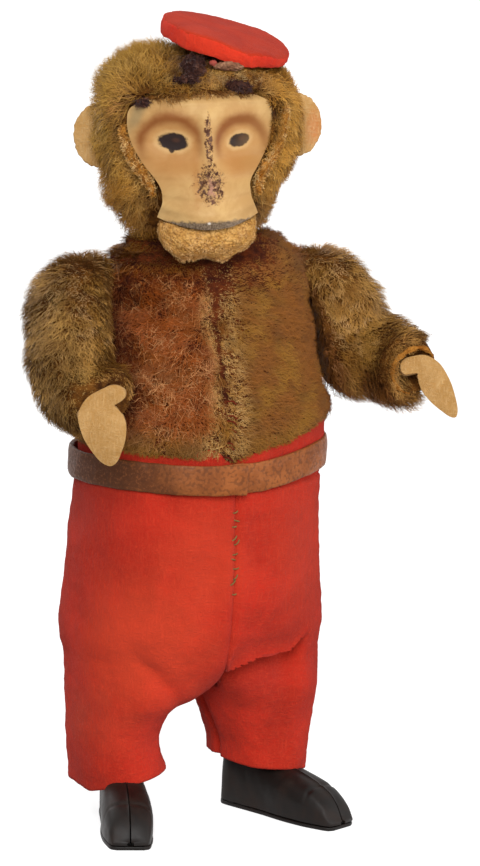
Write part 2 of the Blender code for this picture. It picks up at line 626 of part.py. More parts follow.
def build_motor(root):
    """Two plates held apart by pillars, the bracket that carries the cranks and legs, the spring."""
    plate_gap = PLATE_Y - PLATE_THICK / 2
    corner = 3 * MM
    outline = [(-PLATE_HALF + corner, PLATE_BOTTOM), (PLATE_HALF - corner, PLATE_BOTTOM),
               (PLATE_HALF, PLATE_BOTTOM + corner), (PLATE_HALF, PLATE_TOP - corner),
               (PLATE_HALF - corner, PLATE_TOP), (-PLATE_HALF + corner, PLATE_TOP),
               (-PLATE_HALF, PLATE_TOP - corner), (-PLATE_HALF, PLATE_BOTTOM + corner)]
    for name, side in (("front", -1), ("back", 1)):
        metal = plate(outline, side * plate_gap, side * (plate_gap + PLATE_THICK))
        sheet = piece("motor_%s_plate" % name, metal, BRASS, root, smooth=False)
        bore(sheet, ARBOR_R + GAP, root, 0, WIND_Z)
        bore(sheet, FINE_ARBOR_R + GAP, root, 0, SECOND_Z)
        if side == 1:
            bore(sheet, FINE_ARBOR_R + GAP, root, 0, CRANK_Z)

    web_back = -plate_gap + GAP + CHEEK_THICK
    pillar_x = PLATE_HALF - PILLAR_INSET
    places = (("upper_right", -pillar_x, PLATE_TOP - PILLAR_INSET, -plate_gap),
              ("upper_left", pillar_x, PLATE_TOP - PILLAR_INSET, -plate_gap),
              ("lower_right", -pillar_x / 2, PLATE_BOTTOM + PILLAR_INSET, web_back),
              ("lower_left", pillar_x / 2, PLATE_BOTTOM + PILLAR_INSET, web_back))
    for name, x, z, front in places:
        profile = [(front + GAP, PILLAR_R), (plate_gap - GAP, PILLAR_R)]
        piece("%s_pillar" % name, turned(profile, (x, 0, z), (0, 1, 0), 10), BRASS, root)

    cheek_low, cheek_high = HIP_Z - 4.2 * MM, CRANK_Z + 4.0 * MM
    far = CHEEK_X + CHEEK_THICK
    cheek_end = CRANK_Y + CHEEK_BACK
    bend = [(-far, -plate_gap + GAP), (far, -plate_gap + GAP), (far, cheek_end), (CHEEK_X, cheek_end),
            (CHEEK_X, web_back), (-CHEEK_X, web_back), (-CHEEK_X, cheek_end), (-far, cheek_end)]
    bracket = piece("leg_bracket", plate(bend, cheek_low, cheek_high, "Z"), STEEL, root, smooth=False)
    for z, radius in ((HIP_Z, HIP_AXLE_R), (CRANK_Z, FINE_ARBOR_R)):
        tool = turned([(-REACH, radius + GAP), (REACH, radius + GAP)], (0, CRANK_Y, z), (1, 0, 0), 16)
        boolean(bracket, cutter(tool, root))

    head = LEG_X + LEG_THICK + GAP
    profile = [(-head - AXLE_HEAD, AXLE_HEAD_R), (-head, AXLE_HEAD_R), (-head, HIP_AXLE_R),
               (head, HIP_AXLE_R), (head, AXLE_HEAD_R), (head + AXLE_HEAD, AXLE_HEAD_R)]
    piece("hip_axle", turned(profile, (0, HIP_Y, HIP_Z), (1, 0, 0), 14), STEEL, root)

    inside = loft(torso_rings(TIN_INSET + TIN + GAP, COVER_BOTTOM)[1:])
    low = PLATE_TOP + GAP
    strip = box((-REACH, -BRIDGE_HALF, low), (REACH, BRIDGE_HALF, low + BRIDGE_THICK))
    bridge = piece("motor_bridge", strip, STEEL, root, smooth=False)
    boolean(bridge, cutter(inside, root), "INTERSECT")
    for side in (-1, 1):
        centre, along = shoulder(side)
        room = turned([(-2 * SHOULDER_PIN_IN, PIN_HEAD_R + GAP), (0, PIN_HEAD_R + GAP)], centre, along, 12)
        boolean(bridge, cutter(room, root))

    count = int(16 * SPRING_TURNS)
    outer, inner = [], []
    first = ARBOR_R + 2 * GAP + SPRING_STRIP / 2
    for i in range(count + 1):
        turn = math.tau * SPRING_TURNS * i / count
        radius = first + (SPRING_R - first) * i / count
        for row, offset in ((outer, SPRING_STRIP / 2), (inner, -SPRING_STRIP / 2)):
            row.append(((radius + offset) * math.cos(turn), WIND_Z + (radius + offset) * math.sin(turn)))
    spring_front = -plate_gap + GAP
    piece("mainspring", plate(outer + inner[::-1], spring_front, spring_front + SPRING_WIDTH), STEEL, root)


def wheel(name, teeth, module, y_low, y_high, phase, finish, parent, hole):
    """A toothed wheel across Y with a hole for its arbor."""
    outline = gear_outline(teeth, module, 0, 0, phase)
    item = piece(name, plate(outline, y_low, y_high), finish, parent, smooth=False)
    bore(item, hole, parent)
    return item


def build_great_wheel(great, winding):
    """The great wheel, and the arbor and ratchet wheel that wind the spring."""
    thick = GEAR_THICK / 2
    step = math.tau / GREAT_TEETH
    first_wheel = wheel("great_wheel", GREAT_TEETH, GREAT_MODULE, -thick, thick, -math.pi / 2 + step / 2,
                        BRASS, great, ARBOR_R + GAP)
    ratchet_y = thick + 2 * GAP
    stud = turned([(0, CLICK_STUD_R), (ratchet_y + GEAR_THICK + GAP, CLICK_STUD_R)], (CLICK_X, 0, CLICK_Z),
                  (0, 1, 0), 10)
    boolean(first_wheel, cutter(stud, great), "UNION")

    back = PLATE_Y + PLATE_THICK / 2
    key_start = TORSO_DEPTH * 0.96 + KEY_CLEAR
    profile = [(-back, ARBOR_R), (key_start + KEY_SLEEVE - KEY_WING_THICK, ARBOR_R)]
    piece("winding_arbor", turned(profile, (0, 0, 0), (0, 1, 0), 12), STEEL, winding)
    saw = []
    for i in range(RATCHET_TEETH):
        turn = math.tau * i / RATCHET_TEETH + RATCHET_PHASE
        width = math.tau / RATCHET_TEETH
        saw.append((RATCHET_R * math.cos(turn), RATCHET_R * math.sin(turn)))
        saw.append(((RATCHET_R - RATCHET_TOOTH) * math.cos(turn + 0.06 * width),
                    (RATCHET_R - RATCHET_TOOTH) * math.sin(turn + 0.06 * width)))
    saw_plate = plate(saw, ratchet_y, ratchet_y + GEAR_THICK)
    ratchet = piece("ratchet_wheel", saw_plate, STEEL, winding, smooth=False)
    bore(ratchet, ARBOR_R + GAP, winding)

    nose_turn = RATCHET_PHASE + 0.06 * math.tau / RATCHET_TEETH + 1.3 * GAP / RATCHET_R
    nose_radius = RATCHET_R - 0.84 * RATCHET_TOOTH + GAP
    nose = Vector((nose_radius * math.cos(nose_turn), nose_radius * math.sin(nose_turn)))
    return nose, key_start


def build_click(great, click, nose):
    """The click that holds the ratchet, and the strip spring that presses it in."""
    pivot = Vector((CLICK_X, CLICK_Z))
    along = (nose - pivot).normalized()
    out = Vector((along.y, -along.x))
    if out.dot(pivot) < 0:
        out = -out
    low = GEAR_THICK / 2 + 2 * GAP
    high = low + GEAR_THICK
    base = math.atan2(-along.y, -along.x)
    ring = arc(CLICK_EYE, base - math.pi / 2, base + math.pi / 2, 8)
    tail = [Vector((u, v)) for u, v in ring]
    inner_first = tail[0].dot(out) > tail[-1].dot(out)
    if inner_first:
        tail.reverse()
    reach = nose - pivot
    outline = tail + [reach * 0.55 + out * 1.25 * MM, reach + out * 0.5 * MM, reach]
    lever = piece("click", plate([(p.x, p.y) for p in outline], low, high), STEEL, click, smooth=False)
    bore(lever, CLICK_STUD_R + GAP, click)

    touch = pivot + reach * 0.5 + out * (1.3 * MM + GAP + CLICK_SPRING / 2)
    anchor = nose - along * 1.0 * MM + along * 6.0 * MM + out * 3.4 * MM
    steps = 8
    strip_out, strip_in = [], []
    for i in range(steps + 1):
        share = i / steps
        bow = 0.9 * MM * math.sin(math.pi * share)
        point = anchor.lerp(touch, share) + out * bow
        strip_out.append(point + out * CLICK_SPRING / 2)
        strip_in.append(point - out * CLICK_SPRING / 2)
    strip = [(p.x, p.y) for p in strip_out + strip_in[::-1]]
    piece("click_spring", plate(strip, low, high - 0.3 * MM), STEEL, great, smooth=False)


def build_gears(second, crown, crank):
    """The arbors after the great wheel, down to the crankshaft."""
    thick = GEAR_THICK / 2
    back = PLATE_Y + PLATE_THICK / 2
    profile = [(-back, FINE_ARBOR_R), (back, FINE_ARBOR_R)]
    piece("second_arbor", turned(profile, (0, 0, 0), (0, 1, 0), 10), STEEL, second)
    pinion_half = thick + 2 * GAP
    wheel("first_pinion", FIRST_PINION_TEETH, GREAT_MODULE, -pinion_half, pinion_half, math.pi / 2, STEEL,
          second, FINE_ARBOR_R + GAP / 2)
    second_low = PLATE_Y - PLATE_THICK / 2 - 3 * GEAR_THICK
    second_step = math.tau / SECOND_TEETH
    wheel("second_wheel", SECOND_TEETH, FINE_MODULE, second_low, second_low + GEAR_THICK,
          -math.pi / 2 + second_step / 2, BRASS, second, FINE_ARBOR_R + GAP / 2)

    face = CROWN_FACE_Y
    profile = [(face + GEAR_SLACK, FINE_ARBOR_R), (back, FINE_ARBOR_R)]
    piece("crown_arbor", turned(profile, (0, 0, 0), (0, 1, 0), 10), STEEL, crown)
    wheel("second_pinion", SECOND_PINION_TEETH, FINE_MODULE, second_low - GAP, second_low + GEAR_THICK + GAP,
          math.pi / 2, STEEL, crown, FINE_ARBOR_R + GAP / 2)
    rings = []
    crown_step = math.tau / CROWN_TEETH
    rim_out, rim_in = CROWN_R + CROWN_RIM_OUT, CROWN_R - CROWN_RIM_IN
    hub = FINE_ARBOR_R + GAP / 2
    for i in range(CROWN_TEETH):
        for offset, rise in CROWN_SHARES:
            turn = (i + 0.5 + offset) * crown_step
            tip = face - CROWN_TOOTH_H * rise
            section = [(hub, face + CROWN_DISC), (rim_out, face + CROWN_DISC), (rim_out, tip), (rim_in, tip),
                       (rim_in, face), (hub, face)]
            rings.append([Vector((r * math.cos(turn), y, r * math.sin(turn))) for r, y in section])
    piece("crown_wheel", wrap_loft(rings), BRASS, crown, smooth=False)

    shaft = CHEEK_X + CHEEK_THICK + 2 * GAP
    disc_out = shaft + 1.0 * MM
    profile = [(-disc_out + 0.3 * MM, FINE_ARBOR_R), (disc_out - 0.3 * MM, FINE_ARBOR_R)]
    piece("crankshaft", turned(profile, (0, 0, 0), (1, 0, 0), 10), STEEL, crank)
    outline = gear_outline(SECOND_PINION_TEETH, FINE_MODULE, 0, 0, 0.0)
    face_width = plate(outline, rim_in + GEAR_SLACK, rim_out - GEAR_SLACK, "X")
    pinion = piece("crank_pinion", face_width, STEEL, crank, smooth=False)
    boolean(pinion, cutter(shaft_bar(FINE_ARBOR_R + GAP / 2), crank))
    for side, name, up in ((-1, "right", 1), (1, "left", -1)):
        profile = [(shaft, CRANK_DISC_R), (disc_out, CRANK_DISC_R)]
        disc_piece = piece(name + "_crank", turned(profile, (0, 0, 0), (side, 0, 0), 20), STEEL, crank)
        boolean(disc_piece, cutter(shaft_bar(FINE_ARBOR_R + GAP / 2), crank))
        pin = turned([(disc_out - 0.5 * MM, CRANK_PIN_R), (LEG_X - GAP, CRANK_PIN_R)], (0, 0, up * CRANK_R),
                     (side, 0, 0), 10)
        boolean(disc_piece, cutter(pin, crank), "UNION")


def shaft_bar(radius):
    """A bar along the crankshaft, to bore what sits on it."""
    return turned([(-REACH, radius), (REACH, radius)], (0, 0, 0), (1, 0, 0), 12)


def build_key(winding, key_start):
    """A butterfly key on the back, with two holes in its wings."""
    profile = [(0, KEY_SHAFT_R), (KEY_SLEEVE, KEY_SHAFT_R)]
    sleeve = turned(profile, (0, key_start, 0), (0, 1, 0), 18)
    key = piece("winding_key", sleeve, STEEL, winding)
    wing_start = key_start + KEY_SLEEVE - 3 * MM
    half, deep = KEY_WING_W / 2, KEY_WING_H
    radius = deep / 2
    waist = 2.4 * MM
    lobe_x = half - radius
    outline = []
    for side in (1, -1):
        base = -math.pi / 2 if side == 1 else math.pi / 2
        outline += arc(radius, base, base + math.pi, 12, side * lobe_x, wing_start + radius)
        outline.append((0, wing_start + radius + side * (radius - waist * 0.5)))
    wings = plate(outline, -KEY_WING_THICK / 2, KEY_WING_THICK / 2, "Z")
    boolean(key, cutter(wings, winding), "UNION")
    for side in (1, -1):
        hole = turned([(-9 * MM, radius * 0.42), (9 * MM, radius * 0.42)],
                      (side * (lobe_x + 1.2 * MM), wing_start + radius, 0), (0, 0, 1), 14)
        boolean(key, cutter(hole, winding))
    depth = KEY_SLEEVE - KEY_WING_THICK + GAP
    socket = turned([(-1 * MM, ARBOR_R + GAP), (depth, ARBOR_R + GAP)], (0, key_start, 0), (0, 1, 0), 12)
    boolean(key, cutter(socket, winding))


def along_table(table, x):
    """Read a value between the rows of a short table of (place, value)."""
    for (x0, y0), (x1, y1) in zip(table, table[1:]):
        if x <= x1:
            share = max((x - x0) / (x1 - x0), 0.0)
            share = share * share * (3 - 2 * share)
            return y0 + (y1 - y0) * share
    return table[-1][1]


# Head outline: share of its height, share of its width
HEAD_SHAPE = [(0.0, 0.56), (0.07, 0.72), (0.17, 0.82), (0.30, 0.915), (0.45, 0.98), (0.60, 1.0),
              (0.72, 0.975), (0.83, 0.90), (0.92, 0.73), (0.975, 0.47)]
CROWN_SPOT = 0.1              # share of its width at the very top
# Tin face: share of its height from the mouth to the brow, share of its half width
FACE_OUTLINE = [(0.0, MUZZLE_HALF / FACE_HALF), (0.15, 0.66), (0.27, 0.68), (0.45, 0.87), (0.62, 0.975),
                (0.80, 1.0), (0.93, 0.90), (1.0, 0.66)]
# How far the tin face stands forward of the head's axis on its middle line, by the same height share
FACE_PROFILE = [(0.0, 1.27), (0.08, 1.27), (0.18, 1.2), (0.32, 1.09), (0.48, 1.0), (0.62, 0.965),
                (0.80, 0.95), (0.92, 0.91), (1.0, 0.84)]
# Chin: share of the mouth's height, share of the drop, half width as a share of the muzzle's, and
# its front and back as shares of the head's half depth
CHIN_SHAPE = [(0.89, 0.0, 0.952, 1.212, 0.575), (0.39, 0.0, 0.984, 1.239, 0.575),
              (0.0, 0.13, 0.889, 1.204, 0.602), (0.0, 0.68, 0.730, 1.124, 0.681), (0.0, 1.0, 0.492, 1.018, 0.779)]


def head_rings(inset, count=28):
    """Rings of the head's outer surface, moved in by inset, from the neck to the crown."""
    base = HEAD_Z - HEAD_PIVOT_Z
    profile = [(HEAD_A * width, base + HEAD_HEIGHT * share) for share, width in HEAD_SHAPE]
    rings = []
    for (share, width), (step_in, z) in zip(HEAD_SHAPE, inset_profile(profile, inset)):
        rings.append(oval(HEAD_A * width - step_in, HEAD_B * width - step_in, z, count))
    rings.append(oval(HEAD_A * CROWN_SPOT, HEAD_B * CROWN_SPOT, base + HEAD_HEIGHT - inset, count))
    return rings


def face_point(across, share, behind=0.0, wider=0.0):
    """A point of the tin face; across runs from -1 to 1 and share from the mouth to the brow."""
    half = FACE_HALF * along_table(FACE_OUTLINE, share) + wider
    height = MOUTH_Z + (FACE_TOP - MOUTH_Z) * share
    sag = MOUTH_SAG * (1 - across * across) * max(0.0, 1 - share / 0.25)
    arch = BROW_ARCH * (across * across) * max(0.0, (share - 0.7) / 0.3)
    height += wider * (2 * share - 1) - sag - arch
    x = across * half
    forward = HEAD_B * along_table(FACE_PROFILE, share)
    round_radius = FACE_HALF * (0.558 + 0.547 * min(1.0, max(0.0, (share - 0.05) / 0.5)))
    back = x * x / (2 * round_radius)
    eye = math.hypot((abs(x) - EYE_X) / EYE_HALF_W, (height - EYE_Z) / EYE_HALF_H)
    forward -= EYE_DEPTH * math.exp(-eye ** 2 * 1.3)
    ridge = math.exp(-(x / RIDGE_HALF) ** 2) * math.exp(-((share - 0.55) / 0.33) ** 4)
    nose = math.exp(-(x / NOSE_HALF) ** 2 - ((share - 0.30) / 0.11) ** 2)
    forward += RIDGE_RISE * ridge + NOSE_RISE * nose
    return Vector((x, -forward + back + behind, HEAD_Z - HEAD_PIVOT_Z + height))


def face_sheet(behind=0.0, wider=0.0, columns=12, rows=10):
    """Rows of points over the tin face, from the mouth to the brow."""
    return [[face_point(-1 + 2 * i / columns, j / rows, behind, wider) for i in range(columns + 1)]
            for j in range(rows + 1)]


def face_block(behind, wider):
    """Everything in front of the face's back, to cut it out of the head."""
    rings = []
    for row in face_sheet(behind, wider, columns=10, rows=8):
        front = [Vector((point.x, -REACH, point.z)) for point in row]
        rings.append(row + front[::-1])
    return loft(rings)


def chin_rings(grow=0.0):
    """The stuffed lower jaw under the tin face."""
    base = HEAD_Z - HEAD_PIVOT_Z
    rings = []
    for index, (up, drop, half, front, back) in enumerate(CHIN_SHAPE):
        height = base + MOUTH_Z * up - CHIN_DROP * drop
        ends = grow * (1 if index == 0 else -1 if index == len(CHIN_SHAPE) - 1 else 0)
        middle, deep = -HEAD_B * (front + back) / 2, HEAD_B * (front - back) / 2
        rings.append(oval(MUZZLE_HALF * half + grow, deep + grow, height + ends, 24, 0, middle, power=2.3))
    return rings


def ear_outline(grow):
    """The ear's outline, set into the side of the head; (across, up) points."""
    centre, base = HEAD_A - GAP * 2, HEAD_Z - HEAD_PIVOT_Z
    points = []
    for i in range(26):
        cosine, sine = math.cos(math.tau * i / 26), math.sin(math.tau * i / 26)
        across = (EAR_WIDTH / 2 + grow) * cosine * (1.25 if cosine > 0 else 1.125)
        points.append((centre + across, base + EAR_Z + (EAR_HEIGHT / 2 + grow) * sine))
    return points


def build_head(head):
    """The mohair head and its stuffing, the tin face, the chin, the ears and the cap."""
    base = HEAD_Z - HEAD_PIVOT_Z
    shell = loft(head_rings(0.0), caps=False)
    top = [v for v in shell.verts if v.co.z > base + HEAD_HEIGHT - 0.01 * MM]
    bmesh.ops.contextual_create(shell, geom=top)
    cover = piece("head_cover", shell, MOHAIR_FINISH, head)
    solidify(cover, MOHAIR)
    core = piece("head_stuffing", loft(head_rings(MOHAIR + 1.7 * GAP, 20)[::2]), STUFFING, head)
    sheet = face_sheet()
    mask = bmesh.new()
    rows = [[mask.verts.new(point) for point in row] for row in sheet]
    for lower, upper in zip(rows, rows[1:]):
        for i in range(len(lower) - 1):
            mask.faces.new((lower[i], lower[i + 1], upper[i + 1], upper[i]))
    for face in mask.faces:
        face.normal_update()
    if sum(face.normal.y for face in mask.faces) > 0:
        bmesh.ops.reverse_faces(mask, faces=mask.faces)
    plate_item = sheet_piece("tin_face", mask, FACE_PAINT, head)
    solidify(plate_item, FACE_TIN)
    chin = piece("chin", loft(chin_rings()), PLUSH, head)
    boolean(chin, cutter(face_block(FACE_BACK, FACE_MARGIN), head))
    socket = cutter(face_block(FACE_BACK, FACE_MARGIN), head)
    jaw = cutter(loft(chin_rings(GAP)), head)
    for item in (cover, core):
        boolean(item, socket)
        boolean(item, jaw)
    pin_hole = turned([(-NECK_PIN_TOP, NECK_PIN_R + GAP), (NECK_PIN_TOP + GAP, NECK_PIN_R + GAP)], (0, 0, 0),
                      (0, 0, 1), 14)
    boolean(core, cutter(pin_hole, head))

    for side, name in ((-1, "right"), (1, "left")):
        lean = Matrix.Diagonal((side, 1, 1, 1)) @ Matrix.Rotation(EAR_LEAN, 4, "Z")
        ear_bm = plate(ear_outline(0.0), 0, EAR_THICK)
        bmesh.ops.transform(ear_bm, matrix=lean, verts=ear_bm.verts)
        piece(name + "_ear", ear_bm, EAR_FELT, head)
        slot = plate(ear_outline(GAP), -GAP, EAR_THICK + GAP)
        bmesh.ops.transform(slot, matrix=lean, verts=slot.verts)
        slot_cutter = cutter(slot, head)
        boolean(cover, slot_cutter)
        boolean(core, slot_cutter)

    seat = (Matrix.Translation((CAP_X, CAP_Y, base + CAP_Z)) @ Matrix.Rotation(CAP_ROLL, 4, "Y")
            @ Matrix.Rotation(CAP_PITCH, 4, "X"))
    half = CAP_H / 2
    profile = [(half - CAP_FELT, CAP_R * 0.985), (half - CAP_FELT * 0.35, CAP_R), (half, CAP_R * 0.965)]
    piece("cap_top", turned(profile, (0, 0, 0), (0, 0, 1), 36), RED_FELT, head, seat)
    wall_top = half - CAP_FELT - GAP
    rings = []
    for i in range(36):
        turn = math.tau * i / 36
        section = [(CAP_R, wall_top), (CAP_R * 1.005, -half * 0.3), (CAP_R * 0.985, -half),
                   (CAP_R - CAP_FELT, -half), (CAP_R - CAP_FELT, wall_top)]
        rings.append([Vector((r * math.cos(turn), r * math.sin(turn), z)) for r, z in section])
    piece("cap_band", wrap_loft(rings), RED_FELT, head, seat)
    press = turned([(-half - GAP, CAP_R + 2 * GAP), (CAP_R, CAP_R + 2 * GAP)], (0, 0, 0), (0, 0, 1), 36)
    pressed = cutter(press, head, seat)
    boolean(cover, pressed)
    boolean(core, pressed)


def sheet_piece(name, bm, finish, parent):
    """An open sheet whose faces already point to its outer side."""
    mesh = bpy.data.meshes.new(name)
    bm.to_mesh(mesh)
    bm.free()
    mesh.shade_smooth()
    item = bpy.data.objects.new(name, mesh)
    PARTS.objects.link(item)
    item.data.materials.append(finish)
    item.parent = parent
    return item


def from_shoulder(side, point):
    """A place given in millimetres out from the shoulder pin's middle, back and up."""
    out, back, up = point
    return Vector((side * (SHOULDER_X + out * MM), back * MM, up * MM))


def limb(rows, side, outward):
    """A stuffed limb along its rows, with a domed top that lies flat against the body."""
    line = [from_shoulder(side, row[:3]) for row in rows]
    last = len(line) - 1
    tangents = [(line[min(i + 1, last)] - line[max(i - 1, 0)]).normalized() for i in range(last + 1)]
    half, deep = rows[0][3] * MM, rows[0][4] * MM
    places = []
    for rise, size in ((0.86, 0.36), (0.68, 0.68), (0.36, 0.91)):
        middle = line[0] - tangents[0] * deep * rise - outward * half * (1 - size)
        places.append((middle, tangents[0], half * size, deep * size))
    for point, tangent, row in zip(line, tangents, rows):
        places.append((point, tangent, row[3] * MM, row[4] * MM))
    rings = []
    for middle, tangent, half, deep in places:
        across = Vector((1, 0, 0)) - tangent * tangent.x
        across.normalize()
        other = tangent.cross(across)
        rings.append([middle + across * half * math.cos(math.tau * i / 20)
                      + other * deep * math.sin(math.tau * i / 20) for i in range(20)])
    return loft(rings)


def hand_outline(grow=0.0):
    """A felt mitten, wrist at the start, thumb on the upper side; (along, across) points."""
    length, half = HAND_LENGTH, HAND_WIDTH / 2
    points = [(0.0, -0.46 * half), (0.16 * length, -0.72 * half), (0.36 * length, -half),
              (0.6 * length, -0.94 * half), (0.82 * length, -0.62 * half), (0.96 * length, -0.3 * half),
              (length, 0.1 * half),
              (0.93 * length, 0.5 * half), (0.74 * length, 0.74 * half), (0.52 * length, 0.86 * half),
              (0.40 * length, 0.72 * half), (0.36 * length, 1.10 * half), (0.25 * length, 1.28 * half),
              (0.12 * length, 1.0 * half), (0.0, 0.52 * half)]
    if grow:
        middle = Vector((0.5 * length, 0.0))
        points = [tuple(Vector(p) + (Vector(p) - middle).normalized() * grow * 1.3) for p in points]
    return points


def build_arm(name, side, arm, rows, wrist, fingers):
    """A sleeve bored for its shoulder pin, with a felt hand set into the cuff."""
    centre, along = shoulder(side)
    place = Matrix.Translation(-centre)
    sleeve = piece(name + "_arm", limb(rows, side, along), MOHAIR_FINISH, arm, place)
    boolean(sleeve, cutter(loft(torso_rings(-ARM_SLIT, COVER_BOTTOM)), arm, place))
    room = turned([(-REACH, SHOULDER_PIN_R + GAP), (SHOULDER_PIN_OUT + GAP, SHOULDER_PIN_R + GAP)],
                  (0, 0, 0), along, 12)
    boolean(sleeve, cutter(room, arm))

    reach = Vector(fingers).normalized()
    face = (HAND_FACING - reach * HAND_FACING.dot(reach)).normalized()
    frame = Matrix((reach, face.cross(reach), face)).transposed().to_4x4()
    frame.translation = from_shoulder(side, wrist) - centre
    felt = plate(hand_outline(), -HAND_THICK / 2, HAND_THICK / 2, "Z")
    hand = piece(name + "_hand", felt, EAR_FELT, arm, frame, smooth=False)
    step = hand.modifiers.new("soft_edge", "BEVEL")
    step.width = HAND_THICK / 4
    step.segments = 1
    pocket = plate(hand_outline(GAP), -HAND_THICK / 2 - GAP, HAND_THICK / 2 + GAP, "Z")
    boolean(sleeve, cutter(pocket, arm, frame))


def build_pins(root, head_axis):
    """The pins that the arms swing on and the pin that the head turns on."""
    for side, name in ((-1, "right"), (1, "left")):
        centre, along = shoulder(side)
        head_in = -SHOULDER_PIN_IN
        profile = [(head_in - 1.0 * MM, PIN_HEAD_R), (head_in, PIN_HEAD_R), (head_in, SHOULDER_PIN_R),
                   (SHOULDER_PIN_OUT, SHOULDER_PIN_R)]
        piece(name + "_shoulder_pin", turned(profile, centre, along, 12), STEEL, root)
    pivot = Vector((0, 0, HEAD_PIVOT_Z))
    under_tin = TORSO_TOP - TIN_INSET - TIN - GAP - HEAD_PIVOT_Z
    low = under_tin - 2 * NECK_FLANGE_R * abs(math.sin(HEAD_TILT))
    profile = [(low - 1.0 * MM, NECK_FLANGE_R), (low, NECK_FLANGE_R), (low, NECK_PIN_R),
               (NECK_PIN_TOP, NECK_PIN_R)]
    piece("neck_pin", turned(profile, pivot, head_axis, 14), STEEL, root)


def centre_on_floor(root):
    """Move the whole toy so that its origin is under the middle of its box, at the floor."""
    bpy.context.view_layer.update()
    graph = bpy.context.evaluated_depsgraph_get()
    points = []
    for item in PARTS.objects:
        if item.type == "MESH":
            solid = item.evaluated_get(graph)
            points += [solid.matrix_world @ vertex.co for vertex in solid.data.vertices]
    low = Vector([min(point[i] for point in points) for i in range(3)])
    high = Vector([max(point[i] for point in points) for i in range(3)])
    root.location = Vector((-(low.x + high.x) / 2, -(low.y + high.y) / 2, -low.z))


def main():
    """Set out the pivots, then build each sub-assembly on them."""
    root = empty("dancing_monkey", (0, 0, 0), None)
    hip = (0, HIP_Y, HIP_Z)
    right_leg, left_leg = empty("right_hip", hip, root), empty("left_hip", hip, root)
    great = empty("great_wheel_axis", (0, 0, WIND_Z), root)
    winding = empty("winding_axis", (0, 0, 0), great)
    click = empty("click_axis", (CLICK_X, 0, CLICK_Z), great)
    second = empty("second_arbor_axis", (0, 0, SECOND_Z), root)
    crown = empty("crown_axis", (0, 0, CRANK_Z), root)
    crank = empty("crank_axis", (0, CRANK_Y, CRANK_Z), root)
    tilt = Matrix.Rotation(HEAD_TILT, 4, "Y")
    head = empty("neck_axis", (0, 0, HEAD_PIVOT_Z), root,
                 (tilt @ Matrix.Rotation(HEAD_YAW, 4, "Z")).to_euler())
    arms = [empty(name, (side * SHOULDER_X, 0, SHOULDER_Z), root)
            for name, side in (("right_shoulder", -1), ("left_shoulder", 1))]

    build_torso(root)
    build_trousers(root, right_leg, left_leg)
    build_belt(root)
    for name, side, leg in (("right", -1, right_leg), ("left", 1, left_leg)):
        build_leg(name, side, leg)
        build_shoe(name, side, leg)
    build_motor(root)
    nose, key_start = build_great_wheel(great, winding)
    build_click(great, click, nose)
    build_gears(second, crown, crank)
    build_key(winding, key_start)
    build_head(head)
    build_arm("right", -1, arms[0], RIGHT_ARM, *RIGHT_HAND)
    build_arm("left", 1, arms[1], LEFT_ARM, *LEFT_HAND)
    build_pins(root, tilt @ Vector((0, 0, 1)))
    centre_on_floor(root)


clear_scene()
MOHAIR_FINISH = material("mohair", (0.33, 0.22, 0.055), 0.9)
RED_FELT = material("red_felt", (0.62, 0.045, 0.02), 0.95)
EAR_FELT = material("flesh_felt", (0.70, 0.50, 0.27), 0.95)
PLUSH = material("chin_plush", (0.70, 0.50, 0.25), 0.95)
STUFFING = material("stuffing", (0.55, 0.42, 0.22), 1.0)
FACE_PAINT = material("face_paint", (0.72, 0.58, 0.36), 0.5)
SHOE_FINISH = material("shoe_paint", (0.035, 0.022, 0.018), 0.35)
BELT_FINISH = material("belt", (0.22, 0.085, 0.035), 0.45)
TIN_FINISH = material("tinplate", (0.60, 0.58, 0.54), 0.35, 1.0)
BRASS = material("brass", (0.62, 0.44, 0.16), 0.35, 1.0)
STEEL = material("steel", (0.42, 0.42, 0.43), 0.35, 1.0)
DARK = material("cutter", (0.1, 0.1, 0.1), 0.8)
main()
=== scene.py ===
"""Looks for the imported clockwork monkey: mohair, felt, painted tin and leatherette on the fixed frame."""
import functools
import logging
import math
from dataclasses import dataclass, field
from enum import Enum
from typing import Any, Callable, Sequence

import bmesh
import bpy
import numpy as np
from mathutils import Matrix, Vector, noise
from mathutils.kdtree import KDTree


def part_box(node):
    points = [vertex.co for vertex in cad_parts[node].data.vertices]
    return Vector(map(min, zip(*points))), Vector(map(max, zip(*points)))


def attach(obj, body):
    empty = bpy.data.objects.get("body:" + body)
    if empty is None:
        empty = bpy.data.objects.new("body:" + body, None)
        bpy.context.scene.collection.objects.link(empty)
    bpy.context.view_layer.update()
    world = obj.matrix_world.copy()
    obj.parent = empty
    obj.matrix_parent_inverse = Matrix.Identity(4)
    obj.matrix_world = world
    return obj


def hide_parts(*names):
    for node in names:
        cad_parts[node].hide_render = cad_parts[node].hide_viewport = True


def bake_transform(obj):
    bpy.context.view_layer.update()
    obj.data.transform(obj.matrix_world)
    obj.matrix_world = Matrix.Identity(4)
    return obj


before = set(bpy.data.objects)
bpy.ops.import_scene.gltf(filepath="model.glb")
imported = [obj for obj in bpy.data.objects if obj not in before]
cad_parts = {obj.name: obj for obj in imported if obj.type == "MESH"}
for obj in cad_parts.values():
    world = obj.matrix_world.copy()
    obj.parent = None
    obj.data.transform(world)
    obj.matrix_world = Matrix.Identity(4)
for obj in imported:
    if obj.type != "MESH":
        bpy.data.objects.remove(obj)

LOG = logging.getLogger("monkey")
MM = 0.001
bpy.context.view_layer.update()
AXLE_LOW, AXLE_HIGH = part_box("hip_axle")
# the toy's upright axis
AXIS = Vector(((AXLE_LOW.x + AXLE_HIGH.x) / 2, (AXLE_LOW.y + AXLE_HIGH.y) / 2 + 2 * MM, 0.0))
HEAD_PIVOT, HEAD_TIP, HEAD_TURN = 136, -4.5, -16   # height in mm, and degrees
